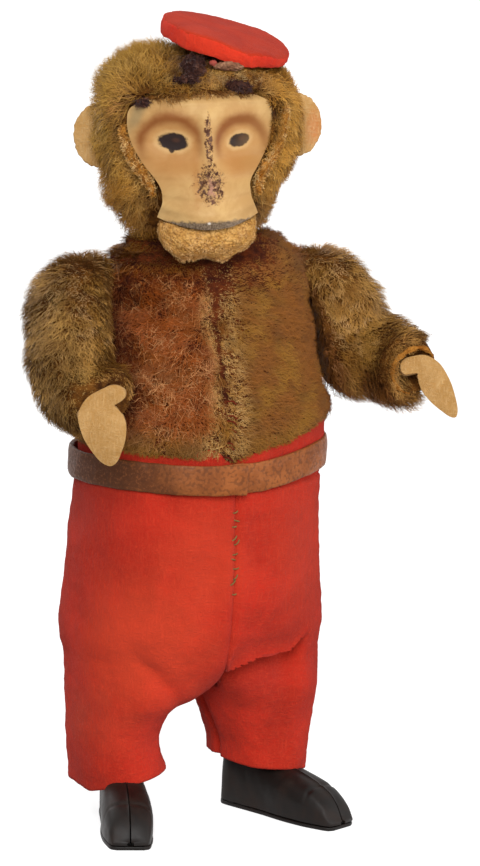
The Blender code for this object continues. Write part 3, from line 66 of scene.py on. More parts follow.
# from the turned head's own axes to the frame
HEAD = (Matrix.Translation(AXIS + Vector((0, 0, HEAD_PIVOT * MM))) @ Matrix.Rotation(math.radians(HEAD_TIP), 4, "Y")
        @ Matrix.Rotation(math.radians(HEAD_TURN), 4, "Z"))
HEAD_BASE = 5.2   # the head's lower edge above its pivot, mm
PLANE = 50   # the side of the face's flat pattern, mm
ORIGIN = (0.0, 0.0, 0.0)
BLADE_POINTS = 7   # two at each of three places along a strand, and its tip

Piece, Material = bpy.types.Object, bpy.types.Material
Tree, Node, Socket = bpy.types.NodeTree, bpy.types.Node, bpy.types.NodeSocket
Points, Chance = np.ndarray, np.random.Generator
Pair, Triple = tuple[float, float], tuple[float, float, float]
Rows = tuple[tuple[float, ...], ...]


def at(x: float, y: float, z: float) -> Vector:
    """A place given in millimetres from the toy's upright axis."""
    return AXIS + Vector((x, y, z)) * MM


def in_head(x: float, y: float, z: float) -> Vector:
    """A place given in millimetres on the head's axes, z up from the head's lower edge."""
    return HEAD @ (Vector((x, y, z + HEAD_BASE)) * MM)


def smooth_step(x: float, low: float = 0.0, high: float = 1.0) -> float:
    """Rise softly from 0 at low to 1 at high."""
    share = min(max((x - low) / (high - low), 0.0), 1.0)
    return share * share * (3 - 2 * share)


def bell(away: float, reach: float, power: int = 2) -> float:
    """1 at a place, falling softly to 0 away from it."""
    return math.exp(-(away / reach) ** power)


def along_table(table: Sequence[Pair], x: float) -> float:
    """Read a value softly between the rows of a short table of (place, value)."""
    for (x0, y0), (x1, y1) in zip(table, table[1:]):
        if x <= x1:
            return y0 + (y1 - y0) * smooth_step(x, x0, x1)
    return table[-1][1]


def flowing(rows: Sequence[Pair], x: float) -> float:
    """A value between rows (x, value), along one smooth curve through them."""
    if x <= rows[0][0] or x >= rows[-1][0]:
        return rows[0][1] if x <= rows[0][0] else rows[-1][1]
    after = next(index for index, row in enumerate(rows) if x <= row[0])
    (x0, y0), (x1, y1) = rows[after - 1], rows[after]
    slopes = []
    for index in (after - 1, after):
        low, high = rows[max(index - 1, 0)], rows[min(index + 1, len(rows) - 1)]
        slopes.append((high[1] - low[1]) / (high[0] - low[0]) * (x1 - x0))
    t = (x - x0) / (x1 - x0)
    return (y0 * (1 + 2 * t) + slopes[0] * t) * (1 - t) ** 2 + (y1 * (3 - 2 * t) + slopes[1] * (t - 1)) * t * t


def curve_through(points: Sequence[Sequence[float]], share: float) -> Vector:
    """A point on a smooth curve through the given points, share running from 0 to 1."""
    count = len(points) - 1
    place = min(max(share, 0.0), 1.0) * count
    index = min(int(place), count - 1)
    t = place - index
    p0, p1, p2, p3 = (Vector(points[min(max(index + k, 0), count)]) for k in (-1, 0, 1, 2))
    return 0.5 * ((2 * p1) + (p2 - p0) * t + (2 * p0 - 5 * p1 + 4 * p2 - p3) * t * t
                  + (3 * p1 - p0 - 3 * p2 + p3) * t * t * t)


# ---------------------------------------------------------------- node wiring

def paint(code: str) -> tuple[float, float, float, float]:
    """A colour written as #rrggbb, as a shader socket holds it."""
    parts = [int(code[i:i + 2], 16) / 255 for i in (1, 3, 5)]
    red, green, blue = (c / 12.92 if c <= 0.04045 else ((c + 0.055) / 1.055) ** 2.4 for c in parts)
    return red, green, blue, 1.0


class Wiring:
    """A node tree with short words for the nodes that the finishes use."""

    def __init__(self, tree: Tree) -> None:
        """Take the tree to wire."""
        self.tree = tree

    def node(self, kind: str, **settings: Any) -> Node:
        """Add a node and set its own properties."""
        made = self.tree.nodes.new("ShaderNode" + kind)
        for name, value in settings.items():
            setattr(made, name, value)
        return made

    def plug(self, value: Any, socket: Socket) -> None:
        """Link an output to a socket, or set the socket to a plain value."""
        if isinstance(value, Socket):
            self.tree.links.new(value, socket)
        else:
            socket.default_value = value

    def fill(self, node: Node, *values: Any) -> Node:
        """Plug values into a node's first inputs, in order."""
        for socket, value in zip(node.inputs, values):
            self.plug(value, socket)
        return node

    def feed(self, node: Node, **inputs: Any) -> Node:
        """Plug values into a node's named inputs; an underscore stands for a space."""
        for name, value in inputs.items():
            self.plug(value, node.inputs[name.replace("_", " ")])
        return node

    def math(self, operation: str, a: Any, b: Any = 0.0, clamp: bool = False) -> Socket:
        """Combine two numbers."""
        return self.fill(self.node("Math", operation=operation, use_clamp=clamp), a, b).outputs[0]

    def times(self, a: Any, b: Any, clamp: bool = False) -> Socket:
        """Multiply two numbers."""
        return self.math("MULTIPLY", a, b, clamp)

    def plus(self, a: Any, b: Any) -> Socket:
        """Add two numbers."""
        return self.math("ADD", a, b)

    def less(self, a: Any, b: Any) -> Socket:
        """Take the second number from the first."""
        return self.math("SUBTRACT", a, b)

    def most(self, a: Any, b: Any) -> Socket:
        """The greater of two numbers."""
        return self.math("MAXIMUM", a, b)

    def vector(self, operation: str, *parts: Any) -> Node:
        """Combine vectors."""
        return self.fill(self.node("VectorMath", operation=operation), *parts)

    def mix(self, share: Any, a: Any, b: Any) -> Socket:
        """Mix two colours by a share."""
        made = self.node("Mix", data_type="RGBA")
        for index, given in ((0, share), (6, a), (7, b)):
            self.plug(given, made.inputs[index])
        return made.outputs[2]

    def over(self, under: Any, mask: Any, code: str, strength: Any = 1.0) -> Socket:
        """Lay a colour over another by a mask."""
        return self.mix(self.times(mask, strength, clamp=True), under, paint(code))

    def fit(self, value: Any, low: Any, high: Any, out_low: float = 0.0, out_high: float = 1.0) -> Socket:
        """Map low..high to a soft step between two values."""
        made = self.node("MapRange", interpolation_type="SMOOTHSTEP")
        return self.fill(made, value, low, high, out_low, out_high).outputs[0]

    def grain(self, place: Any, scale: Any, detail: float = 3.0, rough: float = 0.55, bend: float = 0.0) -> Socket:
        """A cloudy pattern; scale is in spots per unit of the place's own scale."""
        made = self.node("TexNoise")
        return self.feed(made, Vector=place, Scale=scale, Detail=detail, Roughness=rough,
                         Distortion=bend).outputs["Fac"]

    def cells(self, place: Any, scale: float, feature: str = "F1") -> Socket:
        """Distance to the nearest of scattered points."""
        return self.feed(self.node("TexVoronoi", feature=feature), Vector=place, Scale=scale).outputs["Distance"]

    def height(self, place: Any) -> Socket:
        """The second coordinate of a place."""
        return self.fill(self.node("SeparateXYZ"), place).outputs["Y"]

    def stretch(self, place: Any, scale: Sequence[float], turn: Sequence[float] = (0, 0, 0)) -> Socket:
        """Scale and turn a pattern's coordinates."""
        return self.feed(self.node("Mapping"), Vector=place, Scale=scale, Rotation=turn).outputs[0]

    def bump(self, height: Any, strength: float, distance: float) -> Socket:
        """A normal from a height pattern."""
        return self.feed(self.node("Bump"), Strength=strength, Distance=distance, Height=height).outputs[0]

    def use(self, group: Tree, **inputs: Any) -> Node:
        """Place a shared effect and set its named inputs."""
        return self.feed(self.node("Group", node_tree=group), **inputs)


def effect(name: str, inputs: dict[str, Any], outputs: Sequence[str]) -> tuple[Tree, Wiring, dict[str, Any], Node]:
    """Start a shared effect.

    Args:
        name: the group's name.
        inputs: each input's name and plain value; a 3-tuple makes a vector.
        outputs: the names of the values that it puts out.

    Returns:
        The group, its wiring, its inputs by name, and the output node to plug into.
    """
    tree = bpy.data.node_groups.new(name, "ShaderNodeTree")
    for label, value in inputs.items():
        kind = "NodeSocketVector" if isinstance(value, tuple) else "NodeSocketFloat"
        tree.interface.new_socket(name=label, in_out="INPUT", socket_type=kind).default_value = value
    for label in outputs:
        tree.interface.new_socket(name=label, in_out="OUTPUT", socket_type="NodeSocketFloat")
    source, sink = tree.nodes.new("NodeGroupInput"), tree.nodes.new("NodeGroupOutput")
    return tree, Wiring(tree), {label: source.outputs[label] for label in inputs}, sink


@functools.cache
def fibre_effect() -> Tree:
    """Matted fibres: fine crossed hairs, and broad patches where the nap lies another way."""
    inputs = {"Place": ORIGIN, "Hair": 2200.0, "Patch": 90.0}
    tree, w, given, sink = effect("matted_fibres", inputs, ("Hairs", "Patches", "Height"))
    place, hair, patch = given["Place"], given["Hair"], given["Patch"]
    one = w.grain(w.stretch(place, (1.0, 1.0, 0.22), (0.3, 0.2, 0.5)), hair, 3.0, 0.7, 0.4)
    two = w.grain(w.stretch(place, (0.25, 1.0, 1.0), (-0.4, 0.5, -0.3)), hair, 3.0, 0.7, 0.4)
    hairs = w.fit(w.most(one, two), 0.42, 0.72)
    w.feed(sink, Hairs=hairs, Patches=w.fit(w.grain(place, patch, 4.0, 0.6, 0.6), 0.35, 0.68),
           Height=w.plus(hairs, w.times(w.grain(place, patch, 5.0), 1.5)))
    return tree


@functools.cache
def spot_effect() -> Tree:
    """A soft-edged oval, with a ragged edge if wanted."""
    inputs = {"Place": ORIGIN, "Middle": ORIGIN, "Reach": (1.0, 1.0, 1.0), "Turn": 0.0, "Edge": 0.2, "Ragged": 0.0,
              "Rag size": 400.0}
    tree, w, given, sink = effect("painted_spot", inputs, ("Mask",))
    away = w.vector("SUBTRACT", given["Place"], given["Middle"])
    turned = w.feed(w.node("VectorRotate", rotation_type="Z_AXIS"), Vector=away.outputs[0], Angle=given["Turn"])
    length = w.vector("LENGTH", w.vector("DIVIDE", turned.outputs[0], given["Reach"]).outputs[0])
    rag = w.times(w.less(w.grain(given["Place"], given["Rag size"], 3.0, 0.6), 0.5), given["Ragged"])
    distance = w.plus(length.outputs["Value"], rag)
    w.feed(sink, Mask=w.fit(distance, w.plus(1.0, given["Edge"]), w.less(1.0, given["Edge"])))
    return tree


@functools.cache
def wear_effect() -> Tree:
    """Chips and specks that thicken where the amount rises, and the dirt round them."""
    inputs = {"Place": ORIGIN, "Size": 900.0, "Amount": 0.3}
    tree, w, given, sink = effect("chips_and_specks", inputs, ("Chips", "Dirt"))
    place, size = given["Place"], given["Size"]
    coarse = w.grain(place, w.times(size, 0.28), 3.0, 0.6)
    rough = w.plus(w.times(w.grain(place, size, 5.0, 0.7, 0.8), 0.75), w.times(coarse, 0.25))
    level = w.less(0.86, w.times(given["Amount"], 0.5))
    w.feed(sink, Chips=w.times(w.less(rough, level), 24.0, clamp=True),
           Dirt=w.times(w.less(rough, w.less(level, 0.1)), 5.0, clamp=True))
    return tree


@functools.cache
def metal_effect() -> Tree:
    """Rolled metal: fine lines one way, and stains."""
    inputs = {"Place": ORIGIN, "Line": 1600.0, "Stain": 160.0}
    tree, w, given, sink = effect("rolled_metal", inputs, ("Lines", "Stains"))
    w.feed(sink, Lines=w.grain(w.stretch(given["Place"], (1.0, 1.0, 0.06)), given["Line"], 2.0, 0.6),
           Stains=w.fit(w.grain(given["Place"], given["Stain"], 5.0, 0.65, 0.5), 0.45, 0.75))
    return tree


def start_material(name: str, roughness: float, specular: float = 0.5) -> tuple[Material, Wiring, Node, Socket]:
    """Start a material.

    Args:
        name: its name.
        roughness: the shader's plain roughness.
        specular: the strength of its plain reflections.

    Returns:
        The material, its wiring, its Principled shader and the object's own coordinates.
    """
    made = bpy.data.materials.new(name)
    made.use_nodes = True
    w = Wiring(made.node_tree)
    shader = w.feed(made.node_tree.nodes["Principled BSDF"], Roughness=roughness, Specular_IOR_Level=specular)
    return made, w, shader, w.node("TexCoord").outputs["Object"]


# ---------------------------------------------------------------- finishes

@dataclass(frozen=True)
class Felt:
    """Brushed felt: a body colour, a darker nap and pale hairs."""
    name: str
    body: str
    nap: str
    hair: str
    hair_share: float = 0.45
    patch: float = 90.0

    def material(self, spots: Sequence[tuple[Vector, Vector, str, float]] = ()) -> Material:
        """Make the felt.

        Args:
            spots: faded or stained places, and places of painted shade, each a middle, a reach, a colour and a
                strength.

        Returns:
            The material.
        """
        made, w, shader, place = start_material(self.name, 0.95, 0.08)
        fibres = w.use(fibre_effect(), Place=place, Patch=self.patch)
        colour = w.mix(fibres.outputs["Patches"], paint(self.body), paint(self.nap))
        for middle, reach, code, strength in spots:
            spot = w.use(spot_effect(), Place=place, Middle=middle, Reach=reach, Edge=0.6, Ragged=0.9, Rag_size=120.0)
            colour = w.over(colour, spot.outputs["Mask"], code, strength)
        w.feed(shader, Base_Color=w.over(colour, fibres.outputs["Hairs"], self.hair, self.hair_share),
               Normal=w.bump(fibres.outputs["Height"], 0.6, 0.25 * MM), Sheen_Weight=0.04, Sheen_Roughness=0.6)
        return made


@dataclass(frozen=True)
class Backing:
    """The mohair's woven backing, dark brown under the strands' roots."""
    name: str
    dark: str
    light: str

    def material(self) -> Material:
        """Make the backing cloth."""
        made, w, shader, place = start_material(self.name, 0.95, 0.1)
        weave = w.grain(w.stretch(place, (1, 1, 3)), 260.0, 2.0)
        thread = w.times(w.math("SINE", w.times(weave, 60.0)), 0.5)
        cloud = w.grain(place, 320.0, 5.0, 0.7)
        w.feed(shader, Base_Color=w.mix(w.fit(cloud, 0.35, 0.7), paint(self.dark), paint(self.light)),
               Normal=w.bump(w.plus(thread, w.times(cloud, 3.0)), 0.7, 0.3 * MM))
        return made


@dataclass(frozen=True)
class Strands:
    """Pile strands: each strand's own colour is held on its mesh."""
    name: str
    roughness: float = 0.6

    def material(self) -> Material:
        """Make the strands' finish."""
        made, w, shader, _ = start_material(self.name, self.roughness, 0.25)
        w.feed(shader, Base_Color=w.node("Attribute", attribute_name="strand_colour").outputs["Color"])
        return made


@dataclass(frozen=True)
class Plush:
    """Bald, grainy plush with a few fibres left."""
    name: str
    body: str
    grain: str
    pit: str
    size: float = 1500.0

    def material(self) -> Material:
        """Make the plush."""
        made, w, shader, place = start_material(self.name, 0.9, 0.15)
        knots, tufts = w.cells(place, self.size), w.grain(place, 420.0, 4.0, 0.7)
        colour = w.mix(w.fit(tufts, 0.35, 0.7), paint(self.body), paint(self.grain))
        pits = w.times(w.fit(knots, 0.34, 0.62), w.fit(w.grain(place, 900.0, 3.0), 0.4, 0.62))
        w.feed(shader, Base_Color=w.over(colour, pits, self.pit, 0.75),
               Normal=w.bump(w.less(w.times(tufts, 1.2), w.times(knots, 1.6)), 0.9, 0.35 * MM))
        return made


@dataclass(frozen=True)
class Leatherette:
    """Glossy coated cloth: leather grain, scuffs and cracked specks."""
    name: str
    body: str
    worn: str
    deep: str

    def material(self, shade: Vector) -> Material:
        """Make the leatherette.

        Args:
            shade: the middle of the side darkened as painted shade.

        Returns:
            The material.
        """
        made, w, shader, place = start_material(self.name, 0.5, 0.18)
        pebble = w.cells(place, 1500.0, "SMOOTH_F1")
        cloud, fine = w.grain(place, 150.0, 4.0, 0.6), w.grain(place, 1400.0, 3.0, 0.7)
        # painted shade: one side of the belt darkened round the given middle
        dark = w.use(spot_effect(), Place=place, Middle=shade, Reach=Vector((24, 24, 30)) * MM, Edge=0.55, Ragged=0.5,
                     Rag_size=160.0)
        chips = w.use(wear_effect(), Place=place, Size=1900.0, Amount=0.3).outputs["Chips"]
        colour = w.mix(w.fit(cloud, 0.34, 0.68), paint(self.body), paint(self.worn))
        for mask, code, strength in ((dark.outputs["Mask"], self.deep, 0.9),
                                     (w.fit(fine, 0.5, 0.68, 0.0, 0.4), self.worn, 1.0),
                                     (w.fit(pebble, 0.42, 0.62, 0.0, 0.45), self.deep, 1.0), (chips, "#c2a484", 0.7)):
            colour = w.over(colour, mask, code, strength)
        relief = w.plus(w.less(fine, w.times(pebble, 0.9)), w.times(chips, 0.5))
        w.feed(shader, Base_Color=colour, Roughness=w.less(w.fit(fine, 0.35, 0.65, 0.62, 0.4), w.times(chips, 0.2)),
               Normal=w.bump(relief, 0.35, 0.15 * MM))
        return made


@dataclass(frozen=True)
class PressedPaint:
    """Dark glossy paint on pressed tin, rubbed through to bare metal in places."""
    name: str
    body: str
    thin: str
    bare: str
    wear: float

    def material(self) -> Material:
        """Make the paint."""
        made, w, shader, place = start_material(self.name, 0.5, 0.22)
        cloud = w.grain(place, 140.0, 5.0, 0.6)
        rubbed = w.use(wear_effect(), Place=place, Size=700.0, Amount=self.wear)
        chips = rubbed.outputs["Chips"]
        colour = w.mix(w.fit(cloud, 0.4, 0.7), paint(self.body), paint(self.thin))
        colour = w.over(colour, rubbed.outputs["Dirt"], self.thin, 0.4)
        w.feed(shader, Base_Color=w.over(colour, chips, self.bare), Metallic=w.times(chips, 0.7),
               Roughness=w.fit(cloud, 0.3, 0.7, 0.42, 0.6),
               Normal=w.bump(w.less(w.times(cloud, 0.8), chips), 0.35, 0.12 * MM))
        return made


@dataclass(frozen=True)
class Metal:
    """Bare sheet metal of the clockwork."""
    name: str
    body: str
    stain: str
    roughness: float

    def material(self) -> Material:
        """Make the metal."""
        made, w, shader, place = start_material(self.name, self.roughness)
        rolled = w.use(metal_effect(), Place=place)
        lines = rolled.outputs["Lines"]
        w.feed(shader, Base_Color=w.over(paint(self.body), rolled.outputs["Stains"], self.stain, 0.7), Metallic=1.0,
               Roughness=w.fit(lines, 0.3, 0.7, self.roughness - 0.08, self.roughness + 0.15),
               Normal=w.bump(lines, 0.12, 0.05 * MM))
        return made


# ---------------------------------------------------------------- making meshes

@dataclass(frozen=True)
class Hoop:
    """One ring of a lofted form: its middle, half sizes across and deep, and how it stands."""
    middle: Vector
    across: float
    deep: float
    stand: Matrix = field(default_factory=lambda: Matrix.Identity(3))

    def placed(self) -> Matrix:
        """From a unit circle to this ring."""
        size = Matrix.Diagonal((self.across, self.deep, 1.0, 1.0))
        return Matrix.Translation(self.middle) @ self.stand.to_4x4() @ size


class Form:
    """A mesh in the making, shaped with bmesh operators."""

    def __init__(self) -> None:
        """Start empty."""
        self.bm = bmesh.new()

    @classmethod
    def loft(cls, hoops: Sequence[Hoop], segments: int = 48, closed: tuple[bool, bool] = (True, True)) -> "Form":
        """Bridge rings into a tube.

        Args:
            hoops: the rings in order.
            segments: the sides of each ring.
            closed: whether the first and last ring are filled.

        Returns:
            The form.
        """
        form = cls()
        rings = []
        for hoop in hoops:
            made = bmesh.ops.create_circle(form.bm, segments=segments, radius=1.0, matrix=hoop.placed())
            rings.append({edge for vert in made["verts"] for edge in vert.link_edges})
        for lower, upper in zip(rings, rings[1:]):
            bmesh.ops.bridge_loops(form.bm, edges=list(lower | upper))
        for wanted, ring in zip(closed, (rings[0], rings[-1])):
            if wanted:
                bmesh.ops.contextual_create(form.bm, geom=list(ring))
        bmesh.ops.recalc_face_normals(form.bm, faces=form.bm.faces)
        return form

    @classmethod
    def sheet(cls, columns: int, rows: int, place: Callable[[float, float], Vector], shut: bool = False,
              open_at: Callable[[float, float], bool] | None = None) -> "Form":
        """Lay a grid over a surface.

        Args:
            columns: cells across, u from 0 to 1.
            rows: cells along, v from 0 to 1.
            place: where the grid's point (u, v) lies; u = 1 meets u = 0 where shut is set.
            shut: whether the two side edges are merged.
            open_at: says which cells (u, v) are left out.

        Returns:
            The form, with its (u, v) in the UV map "cloth".
        """
        form = cls()
        form.bm.loops.layers.uv.new("cloth")
        bmesh.ops.create_grid(form.bm, x_segments=columns, y_segments=rows, size=0.5, calc_uvs=True)
        if open_at:
            middles = {face: face.calc_center_median() for face in form.bm.faces}
            left_out = [face for face, middle in middles.items() if open_at(middle.x + 0.5, middle.y + 0.5)]
            bmesh.ops.delete(form.bm, geom=left_out, context="FACES")
        for vert in form.bm.verts:
            vert.co = place(vert.co.x + 0.5, vert.co.y + 0.5)
        if shut:
            bmesh.ops.remove_doubles(form.bm, verts=form.bm.verts, dist=0.002 * MM)
        return form

    @classmethod
    def rope(cls, points: Sequence[Vector], radius: Callable[[float], float], sides: int = 8,
             steps: int = 40) -> "Form":
        """A round tube along a curve, closed at both ends.

        Args:
            points: the curve's points.
            radius: its radius at each share of its length.
            sides: sides round it.
            steps: rings along it.

        Returns:
            The form.
        """
        hoops = []
        for i in range(steps + 1):
            share = i / steps
            ahead = curve_through(points, min(share + 0.01, 1.0)) - curve_through(points, max(share - 0.01, 0.0))
            stand = Vector((0, 0, 1)).rotation_difference(ahead).to_matrix()
            hoops.append(Hoop(curve_through(points, share), radius(share), radius(share), stand))
        return cls.loft(hoops, sides)

    @classmethod
    def turned(cls, profile: Sequence[Pair], steps: int) -> "Form":
        """Spin a profile of (radius, height) round the upright axis."""
        form = cls()
        verts = [form.bm.verts.new((radius, 0, height)) for radius, height in profile]
        edges = [form.bm.edges.new(pair) for pair in zip(verts, verts[1:])]
        bmesh.ops.spin(form.bm, geom=verts + edges, axis=(0, 0, 1), cent=(0, 0, 0), steps=steps, angle=math.tau,
                       use_merge=True)
        bmesh.ops.remove_doubles(form.bm, verts=form.bm.verts, dist=0.01)
        return form

    @classmethod
    def of(cls, piece: Piece) -> "Form":
        """Take up a piece's mesh again."""
        form = cls()
        form.bm.from_mesh(piece.data)
        return form

    def back_to(self, piece: Piece) -> None:
        """Give the form back to its piece."""
        self.bm.to_mesh(piece.data)
        self.bm.free()
        piece.data.shade_smooth()

    def facing_out(self) -> "Form":
        """Turn the faces outwards; for closed forms and shells before they get a thickness."""
        bmesh.ops.recalc_face_normals(self.bm, faces=self.bm.faces)
        return self

    def facing(self, outward: Callable[[bmesh.types.BMFace], float]) -> "Form":
        """Turn the faces over if a rule, summed over them, says that they look inwards."""
        if sum(outward(face) for face in self.bm.faces) < 0:
            bmesh.ops.reverse_faces(self.bm, faces=self.bm.faces)
        return self

    def divide(self, cuts: int = 1, smooth: float = 0.0) -> "Form":
        """Split every edge, rounding the form if smooth is set."""
        bmesh.ops.subdivide_edges(self.bm, edges=self.bm.edges, cuts=cuts, use_grid_fill=True, smooth=smooth)
        return self

    def settle(self, times: int = 1, factor: float = 0.5) -> "Form":
        """Relax the points towards their neighbours."""
        for _ in range(times):
            bmesh.ops.smooth_vert(self.bm, verts=self.bm.verts, factor=factor, use_axis_x=True, use_axis_y=True,
                                  use_axis_z=True)
        return self

    def ripple(self, height: float, size: float, seed: int = 0, octaves: int = 3,
               share: Callable[[Vector], float] | None = None) -> "Form":
        """Raise and sink the surface along its normals by a soft noise.

        Args:
            height: how far, in metres.
            size: the waves' size, in metres.
            seed: which waves.
            octaves: how many finer waves are laid over them.
            share: how much of it a place gets.

        Returns:
            The form.
        """
        self.bm.normal_update()
        shift = Vector((seed * 7.3, seed * 3.1, seed * 5.7))
        for vert in self.bm.verts:
            lift = noise.fractal(vert.co / size + shift, 1.0, 2.0, octaves, noise_basis="PERLIN_ORIGINAL")
            vert.co += vert.normal * height * lift * (share(vert.co) if share else 1.0)
        return self

    def move(self, shape: Callable[[Vector], Vector]) -> "Form":
        """Move every point by a rule."""
        for vert in self.bm.verts:
            vert.co = shape(vert.co)
        return self

    def placed(self, matrix: Matrix) -> "Form":
        """Turn and move the whole form."""
        bmesh.ops.transform(self.bm, matrix=matrix, verts=self.bm.verts)
        return self

    def walled(self, thickness: float) -> "Form":
        """Give an open sheet a thickness, inwards from its outer face."""
        bmesh.ops.solidify(self.bm, geom=self.bm.faces[:], thickness=thickness)
        return self

    def eased(self, width: float, segments: int = 2, angle: float = 35.0) -> "Form":
        """Round the edges that are sharper than an angle."""
        sharp = [edge for edge in self.bm.edges if len(edge.link_faces) == 2
                 and edge.calc_face_angle(0.0) > math.radians(angle)]
        bmesh.ops.bevel(self.bm, geom=sharp, offset=width, offset_type="OFFSET", affect="EDGES", segments=segments,
                        profile=0.5, material=-1, clamp_overlap=True)
        return self

    def add(self, other: "Form") -> "Form":
        """Join another form in."""
        spare = bpy.data.meshes.new("spare")
        other.bm.to_mesh(spare)
        other.bm.free()
        self.bm.from_mesh(spare)
        bpy.data.meshes.remove(spare)
        return self

    def finished(self, name: str, finish: Material, smooth: float = 50.0) -> Piece:
        """Turn the form into a piece of the scene.

        Args:
            name: the piece's name.
            finish: its material.
            smooth: edges sharper than this many degrees stay sharp.

        Returns:
            The piece.
        """
        mesh = bpy.data.meshes.new(name)
        self.bm.to_mesh(mesh)
        self.bm.free()
        mesh.shade_smooth()
        mesh.set_sharp_from_angle(angle=math.radians(smooth))
        mesh.materials.append(finish)
        piece = bpy.data.objects.new(name, mesh)
        bpy.context.scene.collection.objects.link(piece)
        return piece


def rounded(piece: Piece, levels: int = 1) -> Piece:
    """Finish a piece with a subdivision surface."""
    step = piece.modifiers.new("rounded", "SUBSURF")
    step.levels = step.render_levels = levels
    return piece


def evaluated_mesh(piece: Piece) -> bpy.types.Mesh:
    """A copy of a piece's mesh as its modifiers leave it."""
    bpy.context.view_layer.update()
    return bpy.data.meshes.new_from_object(piece.evaluated_get(bpy.context.evaluated_depsgraph_get()))


def stuffed(piece: Piece, voxel: float, pressure: float, most: float) -> Piece:
    """Fill a closed cover as stuffing would, by a short cloth simulation whose result is kept.

    Args:
        piece: the cover, slightly smaller than it ends up.
        voxel: the size of its cloth's cells, in metres.
        pressure: how hard it is stuffed.
        most: the furthest a point may move, in metres.

    Returns:
        The same piece.
    """
    remesh = piece.modifiers.new("cells", "REMESH")
    remesh.mode, remesh.voxel_size, remesh.use_smooth_shade = "VOXEL", voxel, True
    even = evaluated_mesh(piece)
    piece.modifiers.clear()
    materials = list(piece.data.materials)
    piece.data = even
    before = np.empty(len(even.vertices) * 3, np.float32)
    even.vertices.foreach_get("co", before)
    cloth = piece.modifiers.new("cloth", "CLOTH")
    cloth.settings.use_pressure = True
    cloth.settings.uniform_pressure_force = pressure
    cloth.settings.effector_weights.gravity = 0.0
    cloth.settings.tension_stiffness = cloth.settings.compression_stiffness = 15.0
    cloth.settings.bending_stiffness = 0.5
    cloth.point_cache.frame_start, cloth.point_cache.frame_end = 1, 20
    for step in range(1, 21):
        bpy.context.scene.frame_set(step)
    blown = evaluated_mesh(piece)
    after = np.empty_like(before)
    blown.vertices.foreach_get("co", after)
    bpy.data.meshes.remove(blown)
    piece.modifiers.clear()
    bpy.context.scene.frame_set(1)
    moves = (after - before).reshape(-1, 3)
    moves[~np.isfinite(moves).all(1)] = 0.0
    length = np.linalg.norm(moves, axis=1, keepdims=True)
    moves *= np.minimum(1.0, most / np.maximum(length, 1e-9))
    even.vertices.foreach_set("co", (before.reshape(-1, 3) + moves).ravel())
    even.update()
    if not even.materials:
        for material in materials:
            even.materials.append(material)
    even.shade_smooth()
    return piece


# ---------------------------------------------------------------- mohair pile

def linear(code: str) -> Points:
    """A #rrggbb colour as a row of linear numbers."""
    return np.array(paint(code)[:3], np.float32)


def clouds(points: Points, size: float, seed: float = 0.0) -> Points:
    """A soft noise from -1 to 1 at each point; size in millimetres."""
    scaled = points / (size * MM) + seed * 11.3
    return np.array([noise.noise(row) for row in scaled.tolist()], np.float32) * 1.6


def rise(values: Points, low: float, high: float) -> Points:
    """A soft step from 0 at low to 1 at high, for many values."""
    share = np.clip((values - low) / (high - low), 0.0, 1.0)
    return share * share * (3 - 2 * share)


def blended(share: Points, a: Points, b: Points) -> Points:
    """Mix rows of colours by a share each."""
    return a + (b - a) * np.clip(share, 0.0, 1.0)[:, None]


def dyed(colours: Points, share: Points, code: str) -> Points:
    """Mix rows of colours towards one colour by a share each."""
    return blended(share, colours, linear(code))


def plain(code: str, count: int) -> Points:
    """The same colour for every strand."""
    return np.tile(linear(code), (count, 1))


def unit(rows: Points) -> Points:
    """Scale each row to length 1."""
    return rows / np.maximum(np.linalg.norm(rows, axis=1, keepdims=True), 1e-9)


def on_head(places: Points) -> Points:
    """Places on the head's own axes, in metres."""
    to_head = np.array(HEAD.inverted())
    return places @ to_head[:3, :3].T + to_head[:3, 3]


@dataclass
class Coat:
    """How the strands of a coat look, one value or row for each strand."""
    roots: Points
    tips: Points
    keep: Points
    length: Points
    lean: Points
    comb: Points
    crimp: Points | float = 1.0


def short_coat(places: Points, tones: tuple[str, str, str], spots: Pair, soft: Pair, lean: float, comb: Points,
               keep: Points | float = 1.0, length: Points | float = 1.0) -> Coat:
    """A short coat of one cloth.

    Args:
        places: where its strands stand.
        tones: its root colour, and the two that its tips lie between.
        spots: the size in millimetres and the seed of the tips' spots.
        soft: how softly they run into each other.
        lean: how far a strand leans, in degrees.
        comb: which way.
        keep: the share of strands that are left.
        length: the strands' share of the pile's length.

    Returns:
        The coat.
    """
    ones = np.ones(len(places))
    tips = blended(rise(clouds(places, *spots), *soft), linear(tones[1]), linear(tones[2]))
    return Coat(plain(tones[0], len(places)), tips, keep * ones, length * ones, lean * ones, comb)


